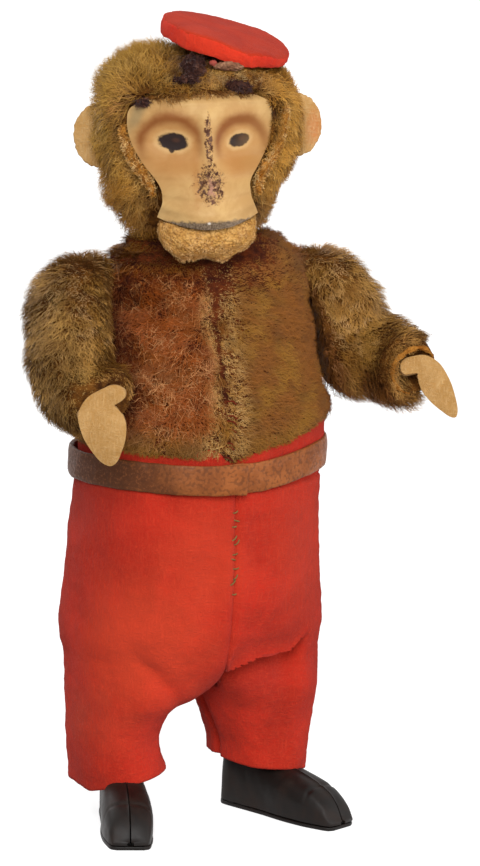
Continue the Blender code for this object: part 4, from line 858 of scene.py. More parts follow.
@dataclass
class Pile:
    """A coat of mohair strands standing on a base surface.

    Tens of thousands of strands are quicker written straight into one mesh than made by operators, so this
    class works out their points itself: each strand is a thin tapering blade of five triangles. Sizes are in
    millimetres.
    """
    per_mm2: float
    length: float
    width: float
    seed: int
    sink: float = 0.5
    clump: float = 1.3
    gather: float = 0.38
    curl: float = 0.3
    crimp: float = 0.12

    def spots(self, base: Piece, random: Chance) -> tuple[Points, Points]:
        """Scatter roots evenly over the base; returns their places and the surface's normals there."""
        mesh = evaluated_mesh(base)
        mesh.calc_loop_triangles()
        count = len(mesh.loop_triangles)
        corners = np.empty(count * 3, np.int32)
        mesh.loop_triangles.foreach_get("vertices", corners)
        corners = corners.reshape(-1, 3)
        places = np.empty(len(mesh.vertices) * 3, np.float32)
        mesh.vertices.foreach_get("co", places)
        normals = np.empty(len(mesh.vertices) * 3, np.float32)
        mesh.vertex_normals.foreach_get("vector", normals)
        places, normals = places.reshape(-1, 3)[corners], normals.reshape(-1, 3)[corners]
        bpy.data.meshes.remove(mesh)
        areas = np.linalg.norm(np.cross(places[:, 1] - places[:, 0], places[:, 2] - places[:, 0]), axis=1) / 2
        total = int(areas.sum() / MM ** 2 * self.per_mm2)
        chosen = random.choice(count, total, p=areas / areas.sum())
        a, b = np.sqrt(random.random(total)), random.random(total)
        weights = np.stack([1 - a, a * (1 - b), a * b], 1)[:, :, None]
        return (places[chosen] * weights).sum(1), unit((normals[chosen] * weights).sum(1))

    def grow(self, name: str, base: Piece, coat: Callable[[Points, Points, Chance], Coat],
             finish: Material) -> Piece:
        """Grow the coat.

        Args:
            name: the piece's name.
            base: the surface that it stands on.
            coat: gives the strands' looks from their places and normals.
            finish: the strands' material.

        Returns:
            The coat as one piece.
        """
        random = np.random.default_rng(self.seed)
        places, normals = self.spots(base, random)
        look = coat(places, normals, random)
        kept = random.random(len(places)) < look.keep
        places, normals = places[kept], normals[kept]
        crimp = look.crimp[kept] if isinstance(look.crimp, Points) else look.crimp
        look = Coat(*(getattr(look, part)[kept] for part in ("roots", "tips", "keep", "length", "lean", "comb")), crimp)
        count = len(places)
        tangent = look.comb - normals * (look.comb * normals).sum(1, keepdims=True)
        tangent = unit(tangent + random.normal(0, 0.22, (count, 3)))
        tangent = unit(tangent - normals * (tangent * normals).sum(1, keepdims=True))

        tree = KDTree(max(count // 12, 1))
        for index, row in enumerate(places[:max(count // 12, 1)].tolist()):
            tree.insert(row, index)
        tree.balance()
        nearest = np.array([tree.find(row)[1] for row in places.tolist()])
        own = unit(tangent * (1 - self.gather) + tangent[nearest] * self.gather)
        pull = places[nearest] - places
        pull *= np.minimum(1.0, self.clump * MM / np.maximum(np.linalg.norm(pull, axis=1, keepdims=True), 1e-9))

        long = self.length * MM * look.length * random.uniform(0.72, 1.15, count)
        side = unit(np.cross(normals, own))
        steps = (0.0, 0.36, 0.70, 1.0)
        middle = places - normals * self.sink * MM
        path, wave = [middle], random.normal(0, self.curl, count)
        bend = random.normal(0, self.crimp, count) * look.crimp
        for before, after in zip(steps, steps[1:]):
            turn = np.radians(look.lean * (0.45 + 0.75 * (before + after) / 2))
            turn = turn[:, None]
            way = normals * np.cos(turn) + own * np.sin(turn) + side * (wave * (after + before))[:, None]
            middle = middle + unit(way) * (long * (after - before))[:, None]
            sway = side * (bend * long * (-1 if 0.3 < after < 0.5 or after > 0.9 else 1))[:, None]
            path.append(middle + sway + pull * (0.35 * after * after) * self.gather)
        wide = unit(side + normals * random.normal(0, 0.35, (count, 1)) + own * random.normal(0, 0.12, (count, 1)))
        half = self.width * MM * random.uniform(0.6, 1.25, count) / 2
        shape = ((path[0], 1.0), (path[1], 0.95), (path[2], 0.68))
        verts = np.empty((count, BLADE_POINTS, 3), np.float32)
        for index, (centre, share) in enumerate(shape):
            verts[:, 2 * index] = centre - wide * (half * share)[:, None]
            verts[:, 2 * index + 1] = centre + wide * (half * share)[:, None]
        verts[:, 6] = path[3]

        tint = random.normal(1.0, 0.10, (count, 1)).astype(np.float32)
        colours = np.ones((count, BLADE_POINTS, 4), np.float32)
        for index, share in enumerate((0.0, 0.0, 0.30, 0.30, 0.72, 0.72, 1.0)):
            colours[:, index, :3] = np.clip((look.roots + (look.tips - look.roots) * share) * tint, 0.0, 1.0)

        order = np.array([0, 1, 3, 2, 2, 3, 5, 4, 4, 5, 6], np.int32)
        blades = np.arange(count, dtype=np.int32)[:, None]
        loops = (blades * BLADE_POINTS + order).ravel()
        starts = (blades * len(order) + np.array([0, 4, 8], np.int32)).ravel()
        mesh = bpy.data.meshes.new(name)
        mesh.vertices.add(count * BLADE_POINTS)
        mesh.vertices.foreach_set("co", verts.ravel())
        mesh.loops.add(len(loops))
        mesh.loops.foreach_set("vertex_index", loops)
        mesh.polygons.add(count * 3)
        mesh.polygons.foreach_set("loop_start", starts)
        mesh.update(calc_edges=True)
        layer = mesh.color_attributes.new("strand_colour", "FLOAT_COLOR", "POINT")
        layer.data.foreach_set("color", colours.ravel())
        mesh.validate()
        mesh.shade_smooth()
        mesh.materials.append(finish)
        piece = bpy.data.objects.new(name, mesh)
        bpy.context.scene.collection.objects.link(piece)
        LOG.info("%s: %d strands", name, count)
        return piece


# ---------------------------------------------------------------- studio

@dataclass
class Studio:
    """Pale floor, soft lamps and the camera at the photograph's angle."""
    azimuth: float = -25.0
    elevation: float = 10.0
    roll: float = 2.0
    distance: float = 0.9
    target: Triple = (10.9, 0.0, 91.5)
    lens: float = 155.9

    def camera(self) -> None:
        """Set up the camera; its long side is the sensor's 36 mm."""
        turn, lift, tip = (math.radians(v) for v in (self.azimuth, self.elevation, self.roll))
        back = Vector((math.sin(turn) * math.cos(lift), -math.cos(turn) * math.cos(lift), math.sin(lift)))
        right = Vector((math.cos(turn), math.sin(turn), 0.0))
        up = back.cross(right)
        across = right * math.cos(tip) + up * math.sin(tip)
        upward = up * math.cos(tip) - right * math.sin(tip)
        place = Matrix((across, upward, back)).transposed().to_4x4()
        place.translation = at(*self.target) + back * self.distance
        data = bpy.data.cameras.new("camera")
        data.lens, data.sensor_width, data.sensor_height, data.sensor_fit = self.lens, 36.0, 36.0, "AUTO"
        data.clip_start, data.clip_end = 0.05, 20.0
        data.dof.use_dof = False
        camera = bpy.data.objects.new("camera", data)
        camera.matrix_world = place
        bpy.context.scene.collection.objects.link(camera)
        bpy.context.scene.camera = camera

    def lamp(self, name: str, place: Vector, size: float, power: float) -> None:
        """A square soft lamp aimed at the toy's chest."""
        data = bpy.data.lights.new(name, "AREA")
        data.shape, data.size, data.energy = "SQUARE", size, power
        lamp = bpy.data.objects.new(name, data)
        aim = at(0, 0, 95) - place
        lamp.matrix_world = Matrix.Translation(place) @ aim.to_track_quat("-Z", "Y").to_matrix().to_4x4()
        bpy.context.scene.collection.objects.link(lamp)

    def seen(self, w: Wiring) -> Socket:
        """1 for rays that the camera sees, straight or by way of a gloss or a clear thing."""
        rays = w.node("LightPath").outputs
        return w.most(rays["Is Camera Ray"], w.most(rays["Is Glossy Ray"], rays["Is Transmission Ray"]))

    def floor(self) -> None:
        """A white floor that keeps the toy's shadow and shows white to the camera elsewhere."""
        form = Form()
        bmesh.ops.create_grid(form.bm, x_segments=1, y_segments=1, size=4.0)
        made, w, shader, place = start_material("white_floor", 0.95, 0.0)
        w.feed(shader, Base_Color=(0.42, 0.42, 0.42, 1))
        far = w.vector("LENGTH", place)
        glow = w.feed(w.node("Emission"),
                      Strength=w.times(self.seen(w), w.fit(far.outputs["Value"], 0.35, 1.6, 0.78, 1.0)))
        both = w.fill(w.node("AddShader"), shader.outputs[0], glow.outputs[0])
        w.feed(made.node_tree.nodes["Material Output"], Surface=both.outputs[0])
        piece = form.finished("floor", made)

    def world(self) -> None:
        """White behind the toy, and an even fill light."""
        world = bpy.data.worlds.new("studio")
        bpy.context.scene.world = world
        world.use_nodes = True
        w = Wiring(world.node_tree)
        w.feed(world.node_tree.nodes["Background"], Color=(1, 1, 1, 1),
               Strength=w.plus(0.40, w.times(self.seen(w), 0.60)))

    def build(self) -> None:
        """Set up the whole studio."""
        bpy.context.scene.view_settings.view_transform = "Standard"
        self.camera()
        self.floor()
        self.world()
        self.lamp("key", at(-420, -900, 620), size=0.55, power=10.5)
        self.lamp("fill", at(640, -760, 320), size=0.7, power=4.6)
        self.lamp("rim", at(-200, 700, 700), size=0.5, power=3.6)


# ---------------------------------------------------------------- torso, trousers, belt, shoes

class Side(Enum):
    """The toy's own right or left; the value is the sign of x."""
    RIGHT = -1
    LEFT = 1

    @property
    def word(self) -> str:
        """The side as node names write it."""
        return self.name.lower()


def oval_y(x: float, half: float, deep: float, power: float) -> float:
    """How deep an oval of a given power is at a place across it."""
    return deep * max(0.0, 1 - min(1.0, abs(x) / half) ** power) ** (1 / power)


def inside_band(values: Points, low: float, high: float, soft: float) -> Points:
    """1 between low and high, falling softly to 0 outside."""
    return rise(values, low - soft, low + soft) * (1 - rise(values, high - soft, high + soft))


@dataclass
class Torso:
    """The mohair cover of the body, its front seam and its pile; the shape is (height, share of the greatest size)."""
    width: float = 32.2
    depth: float = 26.9
    top: float = 140.3
    inset: float = 1.9
    shape: Rows = (
        (84, .93), (88, .985), (91, .995), (97, 1), (106, .965), (118, .89), (127, .79), (134, .65), (138.4, .50),
        (140.3, .357))
    seam_x: float = -5.0
    strand: float = 3.7

    def hem(self, turn: float) -> float:
        """Height of the cloth's lower edge; turn is 0 at the front and grows to the toy's left."""
        rows = ((-3.2, 92.0), (-1.6, 91.6), (-1.03, 91.6), (-0.64, 90.9), (-0.15, 89.6), (0.13, 91.2), (0.35, 92.9),
                (0.58, 94.9), (0.95, 96.6), (1.5, 96.2), (2.4, 93.2), (3.2, 92.0))
        return along_table(rows, turn) + 0.25 * math.sin(9 * turn)

    def share(self, z: float) -> float:
        """The body's size at a height, as a share of its greatest."""
        return along_table(self.shape, min(max(z, self.shape[0][0]), self.top))

    def skin(self, u: float, v: float) -> Vector:
        """A point of the cloth; u runs round it from the back, v from its hem to the neck."""
        turn = math.tau * (u - 0.5)
        low = self.hem(turn)
        z = low + (self.top - low) * v ** 0.92
        share = along_table(self.shape, z)
        inset = self.inset * (1 - 0.6 * smooth_step(z, 136, 140))
        broad = 4.6 * smooth_step(z, 123, 134) * abs(math.sin(turn)) ** 1.5
        broad += 1.4 * smooth_step(110 - z, 0, 9) * max(0.0, math.sin(turn))
        across, deep = self.width * share - inset + broad, self.depth * share - inset
        return at(across * math.sin(turn), -deep * math.cos(turn), z)

    def coat(self, places: Points, normals: Points, random: Chance) -> Coat:
        """The strands' looks: rust chest, ochre side, pale worn tufts along the seam."""
        spot = (places - np.array(AXIS)) / MM
        x, y, z = spot.T
        turn = np.arctan2(x / self.width, -y / self.depth)
        count = len(x)
        patch, fine, crinkle = clouds(places, 9, 1), clouds(places, 2.6, 2), clouds(places, 0.9, 3)
        lucky = random.random(count)
        tips = blended(rise(patch + 0.7 * fine, -0.6, 0.7), linear("#734510"), linear("#96641a"))
        right_half = inside_band(turn, -0.08, 1.35, 0.12) * rise(z, 84, 100)
        tips = dyed(tips, right_half * rise(-fine - patch, -0.8, 0.6) * 0.85, "#8c5212")
        # painted shade on the toy's left side, turned from the lamps
        shade = rise(turn, 0.55, 1.15)
        tips = dyed(tips, shade * 0.65, "#693a14")
        chest = inside_band(turn, -1.45, -0.24, 0.12) * inside_band(z, 95, 133, 3.0) * rise(patch, -1.3, -0.4)
        tips = dyed(tips, chest, "#9a4c12")
        tips = dyed(tips, chest * rise(fine, 0.0, 0.8) * 0.7, "#79380d")
        chosen = lucky < 0.05 + 0.62 * rise(crinkle + 0.5 * fine, 0.25, 0.75)
        peach = chest * chosen * rise(clouds(places, 4.5, 8), -0.8, 0.1)
        tips = dyed(tips, peach * 0.9, "#d49a62")
        low = inside_band(z, 80, 97, 3.0) * inside_band(turn, -1.5, 1.2, 0.2)
        tips = dyed(tips, low * 0.55, "#90621a")
        seam = x - (self.seam_x - 0.02 * (z - 110) + 0.6 * np.sin(z / 5.0))
        wide = 2.6 + 2.0 * (seam < 0) * rise(-z, -112, -98) + 1.4 * (seam > 0)
        tuft = np.exp(-(np.abs(seam) / wide) ** 4) * (y < 0) * rise(clouds(places, 2.4, 6), -0.9, -0.1)
        tips = blended(tuft, tips, blended(lucky, linear("#b98236"), linear("#e0b877")))
        roots = tips * (0.48 + 0.14 * lucky)[:, None]
        roots = dyed(roots, tuft * 0.7, "#8a5a22")
        roots = dyed(roots, peach * 0.8, "#a4632f")
        gap = np.exp(-(np.abs(seam) / 0.45) ** 2) * (y < 0) * rise(clouds(places, 6, 17), -0.5, 0.3)
        dark = rise(clouds(places, 5, 9), 0.35, 0.8)
        tips *= (1 - 0.3 * dark)[:, None]
        hem = np.array([self.hem(value) for value in turn.tolist()])
        edge = 1 - rise(z, hem + 0.5, hem + 3.5)
        under_arm = self.under_arm(x, y, z)
        # painted shade on the body where the arms hang close
        tips = dyed(tips, under_arm * 0.75, "#46200f")
        tips = np.clip(tips * 1.1, 0, 1)
        keep = np.clip(1 - 0.92 * gap, 0, 1) * (1 - 0.45 * under_arm)
        shoulder = rise(z, 124, 134) * rise(np.abs(np.sin(turn)), 0.45, 0.8)
        length = (1 - 0.55 * tuft) * (1 + 0.25 * peach) * (1 - 0.5 * under_arm * (1 - shoulder))
        length = length * (1 + 0.5 * shoulder) * (1 - 0.45 * edge)
        length = length * (1 - 0.55 * rise(z, 126, 130) * (y < -6)) * (1 - 0.5 * rise(z, 133, 137))
        lean = 66 + 6 * right_half - 18 * tuft + 14 * under_arm * (1 - shoulder) - 16 * shoulder + 8 * peach
        around = np.stack([np.cos(turn), np.sin(turn), np.zeros(count)], 1)
        down = np.array([0, 0, -1.0])
        swirl = clouds(places, 7, 4)[:, None]
        comb = down * (1 - 0.7 * right_half - 0.5 * chest - 0.4 * edge)[:, None]
        comb = comb + around * (right_half * 1.1 + 0.9 * tuft * np.sign(seam))[:, None]
        comb = comb + around * swirl * (0.6 + 1.1 * chest)[:, None]
        comb = comb + around * (peach * random.normal(0, 1.6, count))[:, None]
        return Coat(roots, tips, keep, length, lean, comb, 1 + 2.4 * peach + tuft)

    def under_arm(self, x: Points, y: Points, z: Points) -> Points:
        """Where an arm hangs close to the body, so that the pile is short and painted shade darkens it."""
        side = rise(np.abs(x), 20, 25)
        right = (x < 0) * inside_band(y, -18, 14, 2.0) * rise(z, 96, 101)
        left = (x > 0) * inside_band(y, -14, 14, 2.0) * rise(z, 100, 106)
        return side * np.maximum(right, left)

    def build(self, cloth: Material, strands: Material, thread: Material) -> None:
        """Make the cover, its seam thread and its pile."""
        form = Form.sheet(150, 72, self.skin, shut=True).facing_out().ripple(0.45 * MM, 7 * MM, 3)
        base = form.walled(0.8 * MM).finished("torso_cloth", cloth)
        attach(base, "torso")
        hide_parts("torso_cover")
        pile = Pile(per_mm2=8.6, length=self.strand, width=0.17, seed=11)
        for name, wanted in (("torso_pile_front", -1.0), ("torso_pile_back", 1.0)):
            def half(places: Points, normals: Points, random: Chance, wanted: float = wanted) -> Coat:
                """Only the strands of this half, and only outside the cloth."""
                look = self.coat(places, normals, random)
                spot = places - np.array(AXIS)
                outer = (spot[:, 0] * normals[:, 0] + spot[:, 1] * normals[:, 1] + 0.012 * normals[:, 2]) > 0
                look.keep *= ((spot[:, 1] - 6 * MM) * wanted > 0) & outer
                return look
            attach(pile.grow(name, base, half, strands), "torso")
            pile.seed += 1
        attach(self.seam(thread), "torso")

    def seam(self, thread: Material) -> Piece:
        """Loose red-brown threads in the gap of the front seam."""
        whole = Form()
        for index in range(7):
            z = 90.5 + index * 2.1 + 0.7 * math.sin(index * 2.3)
            x = self.seam_x - 0.02 * (z - 110) + 0.6 * math.sin(z / 5.0) + 1.6
            share = along_table(self.shape, z)
            y = -oval_y(x, self.width * share, self.depth * share, 2.0) + 1.5
            wave = noise.noise(Vector((z, 0.3, 7.1)))
            points = [at(x - 1.2, y + 0.5, z + 0.5 * wave), at(x - 0.3, y - 0.75, z + 0.2),
                      at(x + 0.5, y - 0.7, z - 0.5), at(x + 1.3, y + 0.5, z - 0.4 - 0.5 * wave)]
            whole.add(Form.rope(points, lambda share: 0.2 * MM, sides=6, steps=8))
        return whole.finished("torso_seam_thread", thread)


@dataclass
class Trousers:
    """The felt trousers: two halves sewn down the middle, one leg to each.

    A leg's rows say, at each height, how far out its middle lies and its half width and depth; a hem's rows, the
    angle round it and its height; the rows of wide, how much a height is let out. Sizes are in millimetres.
    """
    waist: Pair = (29.55, 24.55)
    seat: Triple = (32.0, 26.0, 58.0)
    belt_low: float = 83.7
    top: float = 93.2
    hip_y: float = -2.0
    split: float = 27.0
    hem: float = 9.8
    felt: float = 1.5
    seam_x: float = -1.1
    right_leg: Rows = (
        (10, 19.6, 10.4, 14.5), (15, 20.6, 10.15, 14.4), (21, 21.1, 10.2, 14.4), (26, 20.0, 11.5, 15.6),
        (30, 17.7, 13.8, 18.0), (36, 16.2, 15.2, 21.0), (47, 16.0, 15.6, 24.0))
    left_leg: Rows = (
        (10, 17.7, 11.4, 14.5), (16, 17.6, 11.8, 14.5), (21, 16.7, 13.0, 15.0), (26, 15.6, 14.2, 16.4),
        (30, 15.3, 15.0, 18.4), (36, 16.0, 15.4, 21.0), (47, 16.4, 15.6, 24.0))
    right_hem: Rows = (
        (-40, 8.0), (6, 8.5), (22, 8.3), (44, 9.5), (64, 10.7), (92, 11.7), (116, 12.6), (148, 13.2), (180, 13.6),
        (230, 12.2), (290, 9.0), (320, 8.0))
    left_hem: Rows = (
        (-40, 10.2), (0, 10.2), (32, 10.5), (86, 11.7), (118, 12.2), (140, 12.7), (172, 13.3), (212, 13.0),
        (270, 11.4), (320, 10.2))
    right_wide: Rows = (
        (9, -.4), (20, -.3), (33, 0), (40, .5), (45, 1.0), (51, .2), (57, -.35), (66, -.4), (74, -.5), (83, 0))
    left_wide: Rows = (
        (9, -1.0), (25, -.9), (36, -.8), (42, -.5), (48, -.1), (56, -1.4), (66, -2.4), (74, -1.7), (83, .1),
        (86, 1.2), (96, 1.5))

    def seat_sizes(self, z: float) -> Pair:
        """Half width and half depth of the seat at a height."""
        if z >= self.belt_low - 1:
            return self.waist
        fall = min((self.belt_low - z) / (self.belt_low - self.seat[2]), 1.0)
        swell = math.sin(fall * math.pi / 2) ** 0.8
        drop = max(self.seat[2] - z, 0.0) / self.split
        return (self.waist[0] + (self.seat[0] - self.waist[0]) * swell - drop,
                self.waist[1] + (self.seat[1] - self.waist[1]) * swell - 4.5 * drop ** 1.6)

    def creases(self, side: Side, x: float, z: float) -> Pair:
        """How deep the front sinks in and how far it is tucked up, x out from the middle."""
        if side is Side.LEFT:
            fold = flowing(((-4, 36.4), (-1, 38.0), (6, 40.8), (13, 41.6), (17, 42.0), (21, 45.0), (27, 51.0)), x)
            below = fold - z
            strong = smooth_step(x, -3, 1) * (1 - smooth_step(x, 16, 24))
            inset = 5.4 * strong * smooth_step(below, -0.6, 1.9) * math.exp(-max(below - 2.5, 0) / 9.0)
            return inset - 1.2 * strong * bell(below + 2.2, 3.2), 2.4 * strong * bell(below - 1.5, 1.1)
        line = flowing(((24, 9.0), (28, 10.0), (32, 12.4), (38, 17.5), (42, 21.0), (46, 23.0)), z)
        fade = smooth_step(z, 22, 29) * (1 - smooth_step(z, 40, 48))
        return fade * (1.3 * bell(x - line, 2.4)
                       + 0.9 * smooth_step(line - x, -1, 3) * (1 - smooth_step(z, 32, 41))), 0.0

    def surface(self, side: Side, u: float, v: float) -> Vector:
        """A point of one half; u runs round its tube from the outside by the front, v from waist to hem."""
        turn = math.tau * u
        c, s = math.cos(turn), -math.sin(turn)
        z = self.top + (self.hem - self.top) * v
        # above the crotch: one half of the seat's oval, closed by a flat part on the middle seam
        a, b = self.seat_sizes(z)
        power = 2.0 if z > self.belt_low - 1 else 2.15
        seam = self.seam_x * side.value - 0.25
        middle, half = (seam + a) / 2, (a - seam) / 2
        squeezed = max(-1.0, c * 1.35)
        seat_x = middle + half * (c if c > 0 else squeezed)
        if squeezed > -1.0:
            seat_y = math.copysign(oval_y(seat_x, a, b, power), s)
        else:
            seat_y = b * s / math.sin(math.acos(-1 / 1.35))
        # below it: the leg's own tube
        rows = self.right_leg if side is Side.RIGHT else self.left_leg
        leg_x, leg_a, leg_b = (flowing([(row[0], row[part]) for row in rows], z) for part in (1, 2, 3))
        centre = leg_x
        leg_x += leg_a * math.copysign(abs(c) ** (2 / 2.3), c)
        leg_y = -1.8 + leg_b * math.copysign(abs(s) ** (2 / 2.3), s)
        into = 1 - smooth_step(z, 26.5, 41.5)
        x, y = seat_x + (leg_x - seat_x) * into, seat_y + (leg_y - seat_y) * into
        x += flowing(self.right_wide if side is Side.RIGHT else self.left_wide, z) * smooth_step(x, 6, 30)
        front = smooth_step(-y, 1.0, 11.0)
        inset, lift = self.creases(side, x, z)
        # the middle seam sinks in; the left leg folds along its inner side
        sink = 0.7 * bell(x - seam, 1.1) * smooth_step(z, 33, 38)
        y -= math.copysign(inset * front + sink, y) if abs(y) > 3 else 0.0
        z += lift * front
        low = 1 - smooth_step(z, 33, 39)
        if side is Side.LEFT:
            x += 1.9 * low * bell(y + 3.4, 1.3) * smooth_step(centre - x, 4, 9)
        share_down = (1 - min(max((z - self.hem) / 37.2, 0.0), 1.0)) ** 4
        angle = (math.degrees(turn) + 40) % 360 - 40
        z += share_down * (flowing(self.right_hem if side is Side.RIGHT else self.left_hem, angle) - self.hem)
        # the waist rises at the toy's left
        z += 3.4 * smooth_step(0.906 * side.value * x - 0.423 * y, 6, 31) * smooth_step(z, 84, 92)
        return at(side.value * x, y, z)

    def half(self, side: Side, felt: Material) -> Piece:
        """Make one half of the trousers."""
        crotch = (self.top - 32.5) / (self.top - self.hem)
        form = Form.sheet(150, 132, lambda u, v: self.surface(side, u, v), shut=True,
                          open_at=lambda u, v: math.cos(math.tau * u) < -0.80 and v < crotch)
        calm = at(side.value * (self.seam_x * side.value - 0.25), 0, 0).x

        def away(co: Vector) -> float:
            """No ripples where the halves meet."""
            return smooth_step(abs(co.x - calm), 0.6 * MM, 6 * MM) if co.z > 30 * MM else 1.0

        form.facing_out().ripple(0.9 * MM, 22 * MM, 3, 2, away)
        form.ripple(0.4 * MM, 9 * MM, 5, 4, away)
        form.ripple(0.12 * MM, 1.7 * MM, 9, 2, away)
        piece = form.finished(side.word + "_trousers", felt, 70)
        thin = piece.vertex_groups.new(name="thickness")
        for vert in piece.data.vertices:
            spot = (vert.co - AXIS) / MM
            folded = bell(spot.z - 40.5, 7.0, 4) if spot.y < 2 and side is Side.LEFT else 0.0
            thin.add([vert.index], 1 - 0.85 * folded, "REPLACE")
        wall = piece.modifiers.new("felt", "SOLIDIFY")
        wall.thickness, wall.offset, wall.use_even_offset, wall.vertex_group = self.felt * MM, -1.0, False, thin.name
        solid = evaluated_mesh(piece)
        piece.modifiers.clear()
        piece.vertex_groups.clear()
        piece.data = solid
        at(0, self.hip_y, 50)
        at(0, self.hip_y, 27)
        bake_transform(piece)
        return piece

    def stitches(self, thread: Material) -> Piece:
        """Hand stitches over the front seam's upper half."""
        whole = Form()
        for index in range(11):
            z = 77.6 - index * 1.9 - 0.5 * math.sin(index * 2.7)
            y = -self.seat_sizes(z)[1] + 0.3
            x = self.seam_x + 0.5 * math.sin(index * 1.9)
            wide, slant = 0.75 + 0.35 * math.sin(index * 3.1), 0.5 * math.sin(index * 1.3) - 0.3
            points = [at(x - wide, y + 0.45, z + slant), at(x - 0.4 * wide, y - 0.22, z + 0.5 * slant),
                      at(x + 0.4 * wide, y - 0.18, z - 0.4 * slant), at(x + wide, y + 0.5, z - slant)]
            whole.add(Form.rope(points, lambda share: 0.15 * MM, sides=6, steps=8))
        return whole.finished("trouser_seam_stitches", thread)

    def build(self, finish: Felt, thread: Material) -> None:
        """Make both halves and the seam's stitches."""
        # faded patches, and two darker spots of painted shade: under the left leg's front fold and on the right side
        # below the belt
        fades_and_painted_shade = ((at(-20, -18, 46), Vector((15, 14, 15)) * MM, "#cb4c2c", 0.4),
                 (at(-9, -24, 66), Vector((10, 9, 12)) * MM, "#cb4629", 0.35),
                 (at(20, -18, 68), Vector((12, 14, 16)) * MM, "#c93f26", 0.3),
                 (at(8, -24, 36), Vector((12, 8, 6)) * MM, "#9f271d", 0.5),
                 (at(-24, -6, 26), Vector((8, 10, 9)) * MM, "#c85534", 0.25),
                 (at(-30, 0, 78), Vector((12, 14, 8)) * MM, "#9c2a20", 0.5))
        felt = finish.material(fades_and_painted_shade)
        halves = [self.half(side, felt) for side in Side]
        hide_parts("trouser_seat", "right_trouser_leg")
        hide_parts("left_trouser_leg")
        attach(self.stitches(thread), "torso")


@dataclass
class Belt:
    """A leatherette strip, its end lapped over at the front."""
    inner: Pair = (30.2, 25.1)
    bottom: float = 82.1
    height: float = 7.2
    thick: float = 1.1
    lap: float = 9.0
    edge_turn: float = -math.pi / 2 + 0.02

    def place(self, u: float, v: float) -> Vector:
        """A point of the strip's inner face; it sits higher at the toy's left."""
        lap = self.lap / self.inner[1]
        turn = self.edge_turn - lap + (math.tau + lap) * u
        whole = self.edge_turn + math.tau
        lift = (self.thick + 0.3) * smooth_step(turn, whole - 2.2 * lap, whole - 1.2 * lap)
        lift += self.thick + 0.5 * abs(math.cos(turn)) ** 3
        curl = 0.35 * (2 * v - 1) ** 4
        aside = 0.906 * self.inner[0] * math.cos(turn) - 0.423 * self.inner[1] * math.sin(turn)
        sway = 3.4 * smooth_step(aside, 11, 33) + 0.2 * math.sin(2.3 * turn + 0.5)
        ragged = 0.16 * noise.noise(Vector((turn * 9, v * 2, 0.0)))
        under = (1 - smooth_step(u, 0.0, 0.05)) * v
        z = self.bottom + self.height * v + sway + ragged - 0.9 * under
        return at((self.inner[0] + lift - curl) * math.cos(turn), (self.inner[1] + lift - curl) * math.sin(turn), z)

    def build(self, leather: Material) -> None:
        """Make the strip."""
        form = Form.sheet(300, 12, self.place).facing_out()
        form.ripple(0.14 * MM, 3.5 * MM, 2, 3)
        piece = form.walled(self.thick * MM).eased(0.22 * MM, 2, 50).finished("leatherette_belt", leather, 60)
        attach(piece, "torso")
        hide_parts("belt")


